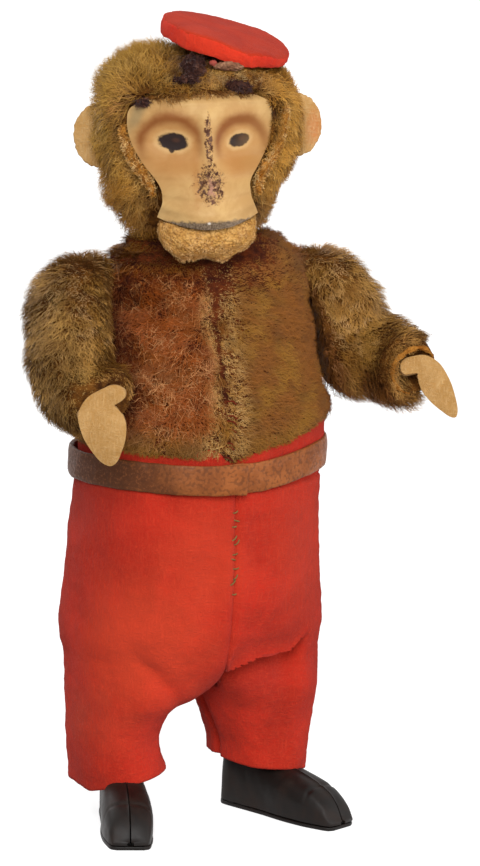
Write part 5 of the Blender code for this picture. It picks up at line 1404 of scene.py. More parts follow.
@dataclass
class Shoe:
    """A shoe pressed in two halves, on a thin sole plate.

    A place is the heel's distance out in millimetres and the toe's turn in degrees; a station is a share of the
    length, the half width and the height there.
    """
    heel_y: float = 2.4
    right_place: Pair = (16.8, 18.5)
    left_place: Pair = (12.7, 24.5)
    length: float = 35.4
    sole: float = 0.9
    rim: float = 0.12
    stations: Rows = (
        (0, 3.3, 13.97), (.03, 4.4, 14.3), (.07, 4.85, 14.4), (.14, 5, 14.2), (.28, 5.12, 13.6), (.42, 5.3, 12.8),
        (.52, 5.65, 12.0), (.58, 5.85, 11.5), (.64, 5.95, 11.0), (.72, 5.95, 10.2), (.79, 5.85, 9.4), (.86, 5.5, 8.2),
        (.91, 5.15, 6.9), (.95, 4.9, 5.4), (.98, 4.5, 3.7), (1, 4.1, 2.3))

    def frame(self, side: Side) -> Matrix:
        """From the shoe's own axes, toe along -y, to the frame."""
        out, turned = self.right_place if side is Side.RIGHT else self.left_place
        turn = Matrix.Rotation(side.value * math.radians(turned), 4, "Z")
        return Matrix.Translation(at(side.value * out, self.heel_y, 0)) @ turn

    def half_surface(self, side_sign: float, u: float, v: float) -> Vector:
        """A point of a half; u runs from heel to toe, v from the sole's edge over to the middle slit."""
        distance = u * self.length
        half = flowing([(s, w) for s, w, _ in self.stations], u)
        tall = flowing([(s, h) for s, _, h in self.stations], u)
        floor = self.sole + 0.3
        section = ((half, 0.0), (half * 1.005, 0.34), (half * 0.965, 0.62), (half * 0.80, 0.86), (half * 0.45, 0.98),
                   (0.18, 1.0))
        spot = curve_through([(x, z, 0.0) for x, z in section], v)
        x, rise_share = max(spot.x, 0.18), min(spot.y, 1.005)
        crease = 0.3 * bell(u - 0.80, 0.015) * smooth_step(rise_share, 0.2, 0.7)
        lip = (0.35 * smooth_step(u, 0.05, 0.2) * (1 - smooth_step(u, 0.9, 0.99)) - 0.12) * math.exp(-(1 - v) / 0.035)
        z = floor + (tall - floor) * rise_share - crease + lip
        return Vector((side_sign * x, -distance, z)) * MM

    def half(self, side: Side, inner: bool, finish: Material) -> Piece:
        """Make one pressed half."""
        sign = -side.value if inner else side.value
        form = Form.sheet(96, 30, lambda u, v: self.half_surface(sign, u, v))
        ends = [edge for edge in form.bm.edges if edge.is_boundary]
        heel = [edge for edge in ends if all(vert.co.y > -0.02 * MM for vert in edge.verts)]
        toe = [edge for edge in ends if all(vert.co.y < -(self.length - 0.02) * MM for vert in edge.verts)]
        for edges, shift in ((heel, 0.35), (toe, -0.45)):
            made = bmesh.ops.extrude_edge_only(form.bm, edges=edges)
            verts = [item for item in made["geom"] if isinstance(item, bmesh.types.BMVert)]
            bmesh.ops.scale(form.bm, vec=(0.15, 1.0, 0.75), verts=verts)
            bmesh.ops.translate(form.bm, vec=(sign * 0.18 * MM, shift * MM, 0.3 * MM), verts=verts)
        form.facing_out().facing(lambda face: face.normal.x * sign * face.calc_area())
        form.ripple(0.10 * MM, 5 * MM, 4 + sign, 3)
        name = side.word + ("_shoe_inner" if inner else "_shoe_outer")
        piece = form.walled(0.5 * MM).placed(self.frame(side)).finished(name, finish, 60)
        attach(piece, side.word + "_leg_and_foot")
        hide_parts(name + "_half")
        return piece

    def sole_plate(self, side: Side, finish: Material) -> Piece:
        """Make the sole with its thin rim."""
        def place(u: float, v: float) -> Vector:
            """A point of the plate; u runs from heel to toe, v across it."""
            distance = u * (self.length + 2 * self.rim)
            half = flowing([(s, w) for s, w, _ in self.stations], min(distance / self.length, 1.0)) + self.rim
            half *= 1 - 0.25 * smooth_step(distance, self.length - 0.2, self.length + 2 * self.rim)
            return Vector(((2 * v - 1) * half, -distance, self.sole)) * MM
        form = Form.sheet(60, 10, place).facing_out().facing(lambda face: face.normal.z)
        form.walled(self.sole * MM).eased(0.2 * MM, 2, 60).placed(self.frame(side))
        piece = form.finished(side.word + "_shoe_sole", finish, 50)
        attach(piece, side.word + "_leg_and_foot")
        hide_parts(side.word + "_sole")
        return piece

    def build(self, side: Side, finish: Material, sole: Material) -> None:
        """Make the shoe."""
        self.half(side, True, finish)
        self.half(side, False, finish)
        self.sole_plate(side, sole)


# ---------------------------------------------------------------- head, face, chin, ears, cap

@dataclass(frozen=True)
class FacePaint:
    """Flesh paint on pressed tin: airbrushed arches, painted eyes and a rubbed muzzle.

    The pattern lies flat on the face's own plane: millimetres across and up from the head's lower edge.
    """
    name: str
    flesh: str = "#b58c56"
    pale: str = "#c8a269"
    # the airbrushed blush colour, also laid on as painted shade
    blush_and_painted_shade: str = "#a9733c"
    arch: str = "#7f481c"
    eye: str = "#1c0b07"
    rim: str = "#d6b47c"
    bare: str = "#6e4f3e"
    rust: str = "#482513"

    def material(self) -> Material:
        """Make the face's paint."""
        made, w, shader, _ = start_material(self.name, 0.5, 0.22)
        place = w.feed(w.node("Mapping"), Vector=w.node("UVMap", uv_map="plane").outputs["UV"],
                       Location=(-PLANE / 2, 0.0, 0.0), Scale=(PLANE, PLANE, PLANE))
        spot = place.outputs[0]
        height = w.height(spot)
        cloud = w.grain(spot, 0.16, 5.0, 0.62, 0.4)
        colour = w.mix(w.fit(cloud, 0.35, 0.68), paint(self.flesh), paint(self.pale))

        def oval(middle: Pair, reach: Pair, turn: float = 0.0, edge: float = 0.2, ragged: float = 0.0,
                 rag: float = 0.5) -> Socket:
            """The mask of an oval on the face's plane; sizes in millimetres, turn in degrees."""
            return w.use(spot_effect(), Place=spot, Middle=(*middle, 0.0), Reach=(*reach, 1.0), Turn=math.radians(turn),
                         Edge=edge, Ragged=ragged, Rag_size=rag).outputs["Mask"]

        def dab(under: Socket, code: str, strength: float, *given: Any) -> Socket:
            """Lay a colour on an oval."""
            return w.over(under, oval(*given), code, strength)

        for (x, z), reach, inner in (((-9.5, 22.7), (7.6, 7.5), (5.7, 5.6)), ((6.8, 22.3), (6.9, 6.9), (5.0, 4.8))):
            colour = dab(colour, self.blush_and_painted_shade, 0.62, (x, z), (reach[0] * 1.05, reach[1] * 1.05), 0, 0.45, 0.15, 0.3)
            ring = oval((x, z), reach, 0, 0.16, 0.2, 0.3)
            hollow = oval((x, z - 0.6), inner, 0, 0.2, 0.15, 0.3)
            arch = w.times(w.times(ring, w.less(1.0, hollow)), w.fit(height, z - 5.0, z + 1.5))
            colour = w.over(colour, arch, self.arch, 0.95)
            # airbrushed blush under each eye, stronger on the left as painted shade
            colour = dab(colour, self.blush_and_painted_shade, 0.7 if x > 0 else 0.4, (x + 0.6, z - 4.4), (5.2, 2.4), 0, 0.6)
        # painted shade: a dark line beside the nose along the muzzle's pressed edge
        colour = dab(colour, self.blush_and_painted_shade, 0.55, (-4.6, 16.0), (0.8, 6.5), 4, 0.9)
        colour = dab(colour, self.pale, 0.5, (-1.2, 24.0), (1.6, 9.5), 0, 0.7, 0.6, 0.6)
        for (x, z), (wide, tall), turn in (((-8.9, 23.4), (3.3, 2.0), 4), ((6.5, 23.0), (2.5, 1.5), -12)):
            colour = dab(colour, self.rim, 0.4, (x, z), (wide + 0.9, tall + 0.75), turn, 0.18, 0.3, 0.9)
            colour = dab(colour, self.eye, 1.0, (x, z), (wide, tall), turn, 0.12, 0.55, 0.75)
            # a painted highlight in each eye
            colour = dab(colour, "#4a2a1a", 0.5, (x + 0.7, z + 0.3), (0.8, 0.5), turn, 0.7)
        # a run of paint under the right eye, and painted shade on the left cheek
        colour = dab(colour, self.eye, 0.95, (-9.3, 21.5), (0.6, 0.7), 0, 0.3, 0.6, 1.1)
        colour = dab(colour, "#a0763f", 0.55, (13.0, 15.0), (5.5, 9.5), 0, 0.95)
        # the nose and muzzle are rubbed down to rust and bare metal
        muzzle = oval((-1.6, 14.0), (4.2, 5.4), 0, 0.5, 0.7, 0.45)
        nose = oval((-1.1, 23.0), (1.15, 7.5), 0, 0.5, 0.5, 0.5)
        around = oval((-2.4, 10.5), (7.0, 3.6), 0, 0.8, 0.7, 0.3)
        amount = w.plus(0.22, w.times(w.most(w.most(muzzle, nose), w.times(around, 0.45)), 0.54))
        wear = w.use(wear_effect(), Place=spot, Size=0.95, Amount=amount)
        chips = wear.outputs["Chips"]
        fine = w.use(wear_effect(), Place=spot, Size=2.6, Amount=w.times(amount, 0.95)).outputs["Chips"]
        colour = w.over(colour, wear.outputs["Dirt"], self.blush_and_painted_shade, 0.75)
        colour = w.mix(chips, colour,
                       w.mix(w.fit(w.grain(spot, 0.9, 4.0, 0.7), 0.42, 0.6), paint(self.rust), paint(self.bare)))
        colour = w.over(colour, fine, "#3c2011", 0.85)
        pink = w.times(oval((-1.5, 12.9), (1.1, 2.2), 0, 0.6, 0.9, 0.6), w.fit(w.grain(spot, 0.8), 0.42, 0.58))
        colour = w.over(colour, pink, "#b08068", 0.7)
        # a grey metal lip round the mouth
        lip = w.less(1.0, w.fit(w.plus(height, w.times(w.grain(spot, 0.9), 1.6)), 6.1, 6.9))
        tone = w.mix(w.fit(w.grain(spot, 2.2, 4.0, 0.8), 0.4, 0.62), paint("#30241e"), paint("#766656"))
        colour = w.mix(w.times(lip, 0.92), colour, tone)
        # a painted highlight on the lip
        colour = dab(colour, "#d8cec2", 0.7, (-2.6, 5.4), (0.36, 0.26), 0, 0.5, 0.4, 1.2)
        # green-grey tarnish at the upper corner of the toy's right
        colour = dab(colour, "#7d7355", 0.5, (-16.6, 29.5), (1.2, 3.4), 25, 0.7, 0.7, 0.5)
        relief = w.less(w.times(w.grain(spot, 2.5, 4.0), 0.35), w.plus(chips, fine))
        w.feed(shader, Base_Color=colour, Metallic=w.most(w.times(lip, 0.3), w.times(chips, 0.35)),
               Roughness=w.less(w.fit(cloud, 0.3, 0.7, 0.58, 0.44), w.times(lip, 0.12)),
               Normal=w.bump(relief, 0.35, 0.12 * MM))
        return made


@dataclass
class TinFace:
    """The pressed tin face, from the mouth to the brow."""
    head_deep: float = 22.6
    half: float = 17.2
    muzzle: float = 12.6
    top: float = 34.0
    mouth: float = 6.4
    tin: float = 0.6
    outline: Rows = (
        (0.0, .675), (.07, .635), (.15, .595), (.27, .615), (.45, .82), (.62, .95), (.80, .985), (.93, .93),
        (1.0, .74))
    middle: Rows = ((0.0, -1.95), (.15, -2.1), (.27, -2.25), (.5, -1.9), (.8, -1.75), (1.0, -1.6))
    profile: Rows = (
        (0.0, 1.27), (.08, 1.27), (.18, 1.2), (.32, 1.09), (.48, 1.0), (.62, .965), (.80, .95), (.92, .91),
        (1.0, .84))

    def edges_at(self, height: float) -> Pair:
        """Middle and half width of the face at a height; the half is 0 above and below it."""
        share = (height - self.mouth) / (self.top - self.mouth)
        return flowing(self.middle, share), self.half * flowing(self.outline, share) if -0.12 <= share <= 1.0 else 0.0

    def point(self, across: float, share: float) -> Vector:
        """A point of the face on the head's axes, in mm; across from -1 to 1, share from mouth to brow."""
        half = self.half * flowing(self.outline, share)
        sag = 2.5 * (1 - across * across) * max(0.0, 1 - share / 0.25)
        arch = 1.2 * across * across * max(0.0, (share - 0.7) / 0.3)
        height = self.mouth + (self.top - self.mouth) * share - sag - arch
        x = across * half + flowing(self.middle, share)
        forward = self.head_deep * along_table(self.profile, share)
        curve = self.half * (0.558 + 0.547 * min(1.0, max(0.0, (share - 0.05) / 0.5)))
        near = x - 0.6 * flowing(self.middle, share)
        back = near * near / (2 * curve)
        eye = math.hypot((abs(x + 1.2) - 8.1) / 6.0, (height - 23.0) / 5.4)
        forward -= 2.3 * math.exp(-eye ** 2 * 1.3)
        forward += 0.9 * bell(x + 1.2, 1.7) * bell(share - 0.55, 0.33, 4)
        forward += 1.2 * math.exp(-((x + 1.6) / 3.4) ** 2 - ((share - 0.30) / 0.11) ** 2)
        # small pressed details: the ball of each eye, the nostrils, dents
        for middle, size in ((-8.9, 3.1), (6.8, 2.8)):
            forward += 0.55 * math.exp(-((x - middle) / size) ** 2 - ((height - 23.5) / 2.1) ** 2)
        for side in (-1, 1):
            forward -= 0.5 * math.exp(-((x + 1.6 - side * 2.0) / 0.8) ** 2 - ((height - 12.6) / 0.7) ** 2)
        forward += 0.16 * noise.fractal(Vector((x, height, 2.0)) / 4.5, 1.0, 2.0, 3)
        return Vector((x, -forward + back, height))

    def build(self, finish: Material) -> Piece:
        """Make the face."""
        form = Form.sheet(150, 150, lambda u, v: self.point(2 * u - 1, v))
        plane = form.bm.loops.layers.uv.new("plane")
        for face in form.bm.faces:
            for loop in face.loops:
                loop[plane].uv = (0.5 + loop.vert.co.x / PLANE, loop.vert.co.z / PLANE)
        form.facing(lambda face: -face.normal.y)
        form.bm.normal_update()
        form.walled(self.tin).move(lambda co: in_head(*co))
        piece = form.finished("painted_tin_face", finish, 55)
        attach(piece, "head")
        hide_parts("tin_face")
        return piece


@dataclass
class Head:
    """The mohair head with its open front, raw cloth edges and worn crown."""
    wide: float = 24.4
    deep: float = 22.6
    height: float = 43.4
    inset: float = 1.9
    strand: float = 4.2
    shape: Rows = (
        (0, .56), (.07, .72), (.17, .82), (.30, .915), (.45, .98), (.60, 1), (.72, .975), (.83, .90), (.92, .73),
        (.975, .47), (1, .1))

    def skin(self, face: TinFace, u: float, v: float) -> Vector:
        """A point of the cloth; the front sinks back behind the tin face."""
        turn = math.tau * (u - 0.5)
        size = curve_through([(wide, up, 0.0) for up, wide in self.shape], self.table_share(v)).x
        low = 1 - 0.35 * smooth_step(v, 0.93, 1.0)
        x = (self.wide * size - self.inset * low) * math.sin(turn)
        y = -(self.deep * size - self.inset * low) * math.cos(turn)
        height = self.height * v - self.inset * smooth_step(v, 0.8, 1.0)
        x -= 1.6 * (1 - smooth_step(v, 0.12, 0.5))
        middle, half = face.edges_at(height)
        if y < 0 and half > 0:
            hole = smooth_step(half + 0.2 - abs(x - middle), 0.0, 1.6)
            share_up = (height - face.mouth) / (face.top - face.mouth)
            behind = -self.deep * along_table(face.profile, min(max(share_up, 0.0), 1.0))
            behind = behind + (x - middle) ** 2 / (2 * face.half) + 4.2
            y += hole * max(0.0, behind - y)
        return in_head(x, y, height)

    def table_share(self, share: float) -> float:
        """Where a height share falls among the outline's rows."""
        for index, ((low, _), (high, _)) in enumerate(zip(self.shape, self.shape[1:])):
            if share <= high:
                return (index + (share - low) / (high - low)) / (len(self.shape) - 1)
        return 1.0

    def coat(self, face: TinFace, places: Points, normals: Points, random: Chance) -> Coat:
        """The strands' looks: golden-olive mohair combed away from the face, matted at the cap."""
        spot = on_head(places) / MM
        x, y, z = spot[:, 0], spot[:, 1], spot[:, 2] - HEAD_BASE
        count = len(x)
        turn = np.arctan2(x / self.wide, -y / self.deep)
        patch, fine, mid = clouds(places, 9, 21), clouds(places, 1.6, 22), clouds(places, 4, 24)
        roots = plain("#6a400e", count)
        streak = clouds(np.stack([places[:, 0] * 0.5, places[:, 1], places[:, 2] * 1.4], 1), 1.5, 37)
        tips = blended(rise(patch + 0.6 * mid, -0.7, 0.7), linear("#a87120"), linear("#d0963a"))
        tips = dyed(tips, rise(streak, 0.1, 0.7) * 0.6, "#e6b865")
        olive = rise(-turn, 0.3, 1.3) * rise(z, 10, 30)
        tips = dyed(tips, olive * 0.55, "#a8883a")
        brow = inside_band(turn, -0.75, 0.75, 0.15) * rise(z, 33.0, 35.0)
        tips = dyed(tips, brow * rise(mid, -0.5, 0.6) * 0.5, "#a06a2a")
        roots = dyed(roots, brow, "#4e2a12")
        edges = np.array([face.edges_at(h) for h in z.tolist()])
        aside, face_half = x - edges[:, 0], edges[:, 1]
        front = y < 2
        edge = np.abs(aside) - face_half
        band = front * inside_band(edge, -0.3, 2.0, 0.4) * inside_band(z, 6, 30, 2.0)
        tips = dyed(tips, band * 0.7, "#a8742c")
        # painted shade: dark roots in the gap beside the tin face
        roots = dyed(roots, band, "#3c2210")
        low = 1 - rise(z, 4, 14)
        tips = dyed(tips, low * 0.7, "#74491c")
        # matted dark glue beside the cap and above the brow
        glue = np.zeros(count)
        for spot_x, spot_z, wide, tall in ((-3.0, 40.1, 4.2, 3.0), (-5.0, 37.0, 4.8, 1.4), (6.9, 35.2, 5.2, 1.9),
                                           (-15.6, 32.3, 1.7, 1.2), (15.0, 29.5, 1.0, 1.6), (3.5, 41.0, 6.5, 1.3)):
            glue = np.maximum(glue, np.exp(-((x - spot_x) / wide) ** 4 - ((z - spot_z) / tall) ** 4) * (y < -2))
        glue *= rise(fine + 0.5 * mid, -1.0, -0.2)
        tips = dyed(tips, glue * 0.96, "#3c2019")
        roots = dyed(roots, glue, "#24100c")
        orange = np.exp(-((x - 13.0) / 4.5) ** 2 - ((z - 37.5) / 3.5) ** 2) * (y < 0)
        tips = dyed(tips, orange * 0.75, "#96601c")
        pale = np.exp(-((x - 7.5) / 6.0) ** 2 - ((z - 36.2) / 1.8) ** 2) * front
        pale = pale * rise(clouds(places, 1.1, 27), 0.1, 0.4)
        tips = dyed(tips, pale * 0.85, "#dfbe80")
        rusty = np.exp(-((x + 17.5) / 3.4) ** 2 - ((z - 31.5) / 2.2) ** 2) * front * rise(fine, -0.2, 0.4)
        tips = dyed(tips, rusty * 0.8, "#c07a48")
        tips = dyed(tips, rise(fine, 0.35, 0.9) * 0.3, "#dcb468")
        tips *= (1 - 0.45 * rise(clouds(places, 2.6, 29), 0.35, 0.9))[:, None]
        hole = front * (face_half > 0) * (edge < -0.2)
        mouth_low = front * (np.abs(aside) < 12.5) * (z < 9.0) * (y < -9)
        over = front * (face_half > 0) * (edge < 0) * rise(z, face.top - 2.2, face.top - 0.6)
        over = over * rise(clouds(places, 3.0, 39), -0.5, 0.3)
        keep = np.where((hole | mouth_low) & (over < 0.3), 0.0, 1.0) * (1 - 0.2 * glue) * rise(z, 0.3, 1.6)
        upper_right = rise(-x, 2, 12) * rise(z, 30, 38)
        jowl = inside_band(z, 8, 34, 4) * rise(-turn, 0.9, 1.4)
        left_top, left_low = (x > 8) * rise(z, 28, 36), rise(x, 10, 18) * (1 - rise(z, 12, 22))
        length = (1 - 0.3 * band) * (1 - 0.30 * brow) * (1 - 0.5 * glue) * (1 + 0.3 * jowl)
        length *= (1 + 0.55 * upper_right) * (1 - 0.3 * left_top) * (1 - 0.35 * left_low)
        length *= (1 + 0.35 * low * rise(-x, -8, 2) * (y < -2)) * (1 - 0.6 * (1 - rise(z, 1, 9)) * (y > -4))
        lean = 57 + 10 * patch - 34 * upper_right * rise(z, 33, 40) + 16 * brow + 10 * glue
        sideways = np.sign(x) * np.abs(np.sin(turn)) * 0.35
        outward = np.stack([sideways, np.maximum(y, -4) / 22 + 0.35, np.zeros(count)], 1)
        droop = np.array([0, 0, -1.0]) * (0.9 - 1.1 * rise(z, 24, 38) + 1.6 * over)[:, None]
        across = np.array([1.0, 0, 0.35]) * (1.5 * brow * rise(z, 33, 35))[:, None]
        swirl = np.stack([clouds(places, 5, seed) for seed in (31, 32, 33)], 1)
        comb = (outward + droop + across + 0.9 * swirl) @ np.array(HEAD.to_3x3()).T
        return Coat(roots, tips, keep, length, lean, comb, 1 + 1.5 * brow)

    def edge_band(self, face: TinFace, side: int, finish: Material) -> Piece:
        """The raw rolled edge of the cloth beside the face."""
        points = []
        for step in range(13):
            share = (0.19 if side < 0 else 0.17) + (0.56 if side < 0 else 0.70) * step / 12
            spot = face.point(side, share)
            aside = 2.1 + (-1.4 if side < 0 else 1.2) * step / 12
            points.append(in_head(spot.x + side * aside, spot.y + 1.5, spot.z))

        def radius(share: float) -> float:
            """The roll thins out at both ends."""
            return (0.85 * math.sin(math.pi * min(max(share, 0.02), 0.98)) ** 0.4 + 0.1) * MM

        form = Form.rope(points, radius, sides=14, steps=80)
        form.ripple(0.4 * MM, 1.8 * MM, 8 + side, 3)
        piece = form.finished("cloth_edge_%s" % ("left" if side > 0 else "right"), finish)
        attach(piece, "head")
        return piece

    def brow_band(self, face: TinFace, finish: Material) -> Piece:
        """The ragged cloth edge lapping over the top of the tin."""
        points = []
        for step in range(25):
            across = -0.97 + 1.94 * step / 24
            spot = face.point(across, 1.0)
            ragged = 0.35 * noise.noise(Vector((across * 4, 1.5, 0)))
            points.append(in_head(spot.x, spot.y + 0.15, spot.z + 0.35 + ragged))

        def radius(share: float) -> float:
            """The roll thins out at both ends."""
            return (0.2 + 0.45 * math.sin(math.pi * min(max(share, 0.02), 0.98)) ** 0.3) * MM

        form = Form.rope(points, radius, sides=12, steps=90)
        piece = form.ripple(0.35 * MM, 1.6 * MM, 14, 3).finished("brow_cloth_edge", finish)
        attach(piece, "head")
        return piece

    def fringe(self, places: Points, normals: Points, random: Chance) -> Coat:
        """Brown strands hanging a little over the tin's upper edge."""
        tuft = rise(clouds(places, 2.4, 44), -0.4, 0.6)
        comb = np.array([0.0, -0.4, -1.0]) + random.normal(0, 0.45, (len(places), 3))
        comb = comb + np.array([1.0, 0, 0]) * clouds(places, 3.0, 45)[:, None]
        x = ((places - np.array(in_head(0, 0, 0))) @ np.array(HEAD.to_3x3())[:, 0]) / MM
        hanging = np.exp(-((x + 8.8) / 3.2) ** 4) + 0.6 * np.exp(-((x - 3.0) / 2.2) ** 4)
        return short_coat(places, ("#5a3414", "#80521f", "#c08c44"), (1.6, 43), (-0.5, 0.6), 62.0, comb,
                          np.clip(0.45 + 0.55 * tuft + hanging, 0, 1), 0.5 + 0.6 * tuft + 0.9 * hanging)

    def loops(self, places: Points, normals: Points, random: Chance) -> Coat:
        """Short looped golden threads on the raw edges."""
        comb = random.normal(0, 1, (len(places), 3))
        return short_coat(places, ("#8a5416", "#cf9440", "#f0c884"), (1.2, 41), (-0.5, 0.6), 48.0, comb)

    def clotted(self, places: Points, normals: Points, random: Chance) -> Coat:
        """Dark purple-brown strands stuck together."""
        comb = np.array([0.6, -0.2, -0.7]) + random.normal(0, 0.5, (len(places), 3))
        return short_coat(places, ("#24110e", "#351a18", "#6a4130"), (1.3, 47), (-0.4, 0.7), 66.0, comb)

    def glue_bead(self, glue: Material, red: Material, matted: Material, strands: Material) -> None:
        """The dried bead of glue under the cap's edge, a torn bit of red felt in it, and wads of matted mohair."""
        lumps = (("glue_bead", glue, (5.0, -16.2, 39.7), (3.7, 1.3, 1.0)),
                 ("torn_red_felt", red, (1.4, -16.2, 40.6), (0.75, 0.6, 0.7)),
                 ("matted_mohair_crown", matted, (-3.2, -15.9, 40.3), (2.7, 1.3, 2.3)),
                 ("matted_mohair_brow", matted, (-5.2, -18.2, 37.3), (3.3, 0.9, 0.8)),
                 ("matted_mohair_left", matted, (6.8, -19.0, 35.4), (3.2, 0.9, 1.1)),
                 ("matted_mohair_corner", matted, (-15.4, -15.8, 32.2), (1.2, 0.9, 0.9)))
        for name, finish, middle, size in lumps:
            form = Form()
            bmesh.ops.create_icosphere(form.bm, subdivisions=5, radius=1.0)
            form.move(lambda co: Vector((co.x * size[0], co.y * size[1], co.z * size[2] - 0.075 * co.x * size[0])) * MM)
            form.ripple((0.45 if finish is not matted else 0.9) * MM, 1.6 * MM, 6, 3)
            place = Matrix.Translation(Vector((middle[0], middle[1], middle[2] + HEAD_BASE)) * MM)
            turn = Matrix.Rotation(math.radians(-24), 4, "X")
            piece = form.placed(HEAD @ place @ turn).finished(name, finish, 60)
            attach(piece, "head")
            if finish is matted:
                pile = Pile(per_mm2=9.0, length=1.5, width=0.22, seed=83, sink=0.3, curl=0.5, gather=0.6)
                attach(pile.grow(name + "_strands", piece, self.clotted, strands), "head")

    def build(self, face: TinFace, cloth: Material, edge: Material, strands: Material, glue: Material,
              red: Material, matted: Material) -> None:
        """Make the cover, its pile, the raw edges and the glue."""
        form = Form.sheet(150, 96, lambda u, v: self.skin(face, u, v), shut=True)
        top = [item for item in form.bm.edges if item.is_boundary
               and min(vert.co.z for vert in item.verts) > in_head(0, 0, self.height - 8).z]
        bmesh.ops.contextual_create(form.bm, geom=top)
        form.facing_out().ripple(0.5 * MM, 6 * MM, 12)
        base = form.finished("head_cloth", cloth)
        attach(base, "head")
        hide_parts("head_cover", "head_stuffing")
        pile = Pile(per_mm2=8.2, length=self.strand, width=0.19, seed=31)
        for name, wanted in (("head_pile_front", -1.0), ("head_pile_back", 1.0)):
            def half(places: Points, normals: Points, random: Chance, wanted: float = wanted) -> Coat:
                """Only the strands of this half of the head."""
                look = self.coat(face, places, normals, random)
                look.keep *= (on_head(places)[:, 1] - 4 * MM) * wanted > 0
                return look
            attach(pile.grow(name, base, half, strands), "head")
            pile.seed += 1
        self.glue_bead(glue, red, matted, strands)
        brow = self.brow_band(face, cloth)
        pile = Pile(per_mm2=13.0, length=2.1, width=0.18, seed=57, sink=0.2, curl=0.4)
        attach(pile.grow("brow_fringe", brow, self.fringe, strands), "head")
        for side in (-1, 1):
            roll = self.edge_band(face, side, edge)
            pile = Pile(per_mm2=15.0, length=1.25, width=0.2, seed=51 + side, sink=0.2, curl=0.6)
            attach(pile.grow(roll.name + "_loops", roll, self.loops, strands), "head")


@dataclass
class Chin:
    """The stuffed plush jaw hanging under the tin face.

    A row of its shape says how far it lies up the mouth and down the drop, its half width, and its front and back.
    """
    muzzle: float = 12.6
    deep: float = 22.6
    mouth: float = 5.6
    drop: float = 4.6
    aside: float = 1.9
    shape: Rows = (
        (.80, 0, .955, 1.20, .575), (.39, 0, .984, 1.235, .575), (0, .10, .92, 1.215, .60), (0, .55, .80, 1.15, .66),
        (0, .88, .60, 1.07, .745), (0, 1.02, .36, .98, .82))

    def build(self, plush: Material, strands: Material) -> None:
        """Make the jaw and its last fibres."""
        hoops = []
        for up, drop, half, front, back in self.shape:
            middle, deep = -self.deep * (front + back) / 2, self.deep * (front - back) / 2
            place = Vector((-self.aside, middle, self.mouth * up - (self.drop - 1.3) * drop))
            hoops.append(Hoop(place, self.muzzle * half - 0.8, deep - 0.5))
        form = Form.loft(hoops, 40).divide(2).settle(2)

        def lifted(co: Vector) -> Vector:
            """Raise the mouth's two corners."""
            corner = min(1.0, abs(co.x + self.aside) / 10) ** 2
            return in_head(co.x, co.y, co.z + 1.2 * corner * smooth_step(co.z, 0, 4))

        form.move(lifted)
        piece = form.finished("plush_chin", plush)
        stuffed(piece, voxel=0.9 * MM, pressure=3.0, most=0.5 * MM)
        shaped = Form.of(piece)
        shaped.ripple(0.45 * MM, 2.2 * MM, 4, 4)
        low = in_head(0, -24, -self.drop).z
        for x, size in ((-7.4, 1.8), (-2.2, 0.4), (1.7, 1.9)):
            lump = in_head(x, -24, -self.drop)
            for vert in shaped.bm.verts:
                near = math.exp(-((vert.co.x - lump.x) / (1.7 * MM)) ** 2)
                near = near * smooth_step(low + 3.2 * MM - vert.co.z, 0, 3 * MM)
                vert.co.z -= size * near * 0.8 * MM
        shaped.back_to(piece)
        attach(piece, "head")
        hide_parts("chin")

        def fuzz(places: Points, normals: Points, random: Chance) -> Coat:
            """Short pale fuzz, longer along the ragged lower edge."""
            low_edge = 1 - rise(places[:, 2], low - 1 * MM, low + 2.2 * MM)
            keep = rise(clouds(places, 2.0, 62), -0.6, 0.4) * 0.8 + low_edge
            comb = random.normal(0, 1, (len(places), 3)) + np.array([0, 0, -0.8])
            return short_coat(places, ("#9a6a34", "#c08a45", "#edc284"), (1.4, 61), (-0.6, 0.6), 45.0, comb,
                              np.clip(keep, 0, 1), 0.8 + low_edge)

        pile = Pile(per_mm2=14.0, length=0.9, width=0.16, seed=63, sink=0.2, curl=0.5)
        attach(pile.grow("plush_chin_fuzz", piece, fuzz, strands), "head")


@dataclass
class Ear:
    """A flat felt ear set into the side of the head."""
    centre: float = 23.8
    up: float = 23.0
    height: float = 15.0
    width: float = 9.5
    thick: float = 1.6
    lean: float = 6.0

    def build(self, side: Side, felt: Material) -> None:
        """Make the ear."""
        stand = Matrix.Diagonal((side.value, 1, 1, 1)) @ Matrix.Rotation(math.radians(self.lean), 4, "Z")
        form = Form()
        bmesh.ops.create_circle(form.bm, cap_ends=True, segments=72, radius=1.0)
        for _ in range(3):
            bmesh.ops.inset_region(form.bm, faces=[max(form.bm.faces, key=lambda face: len(face.verts))], thickness=0.2)

        def ear(co: Vector) -> Vector:
            """Stretch the disc to the ear's outline, dished with a soft rim."""
            reach = min(co.length, 1.0)
            across = self.width / 2 * co.x * (1.25 if co.x > 0 else 1.125)
            dish = 0.55 * (reach ** 3) + 0.35 * noise.noise(Vector((co.x * 2, co.y * 2, 3.0 + side.value)))
            edge = 0.12 * noise.noise(Vector((co.x * 9, co.y * 9, side.value)))
            up = self.up + self.height / 2 * co.y * (1 + edge * 0.4)
            return Vector((self.centre + across * (1 + edge * 0.5), 0.45 - dish, up))

        form.move(ear)
        form.bm.normal_update()
        form.facing(lambda face: -face.normal.y)
        form.bm.normal_update()
        form.walled(self.thick * 0.8).eased(0.3, 2, 60)
        form.move(lambda co: in_head(*(stand @ co)))
        form.facing_out()
        piece = form.finished(side.word + "_felt_ear", felt, 60)
        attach(piece, "head")
        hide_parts(side.word + "_ear")


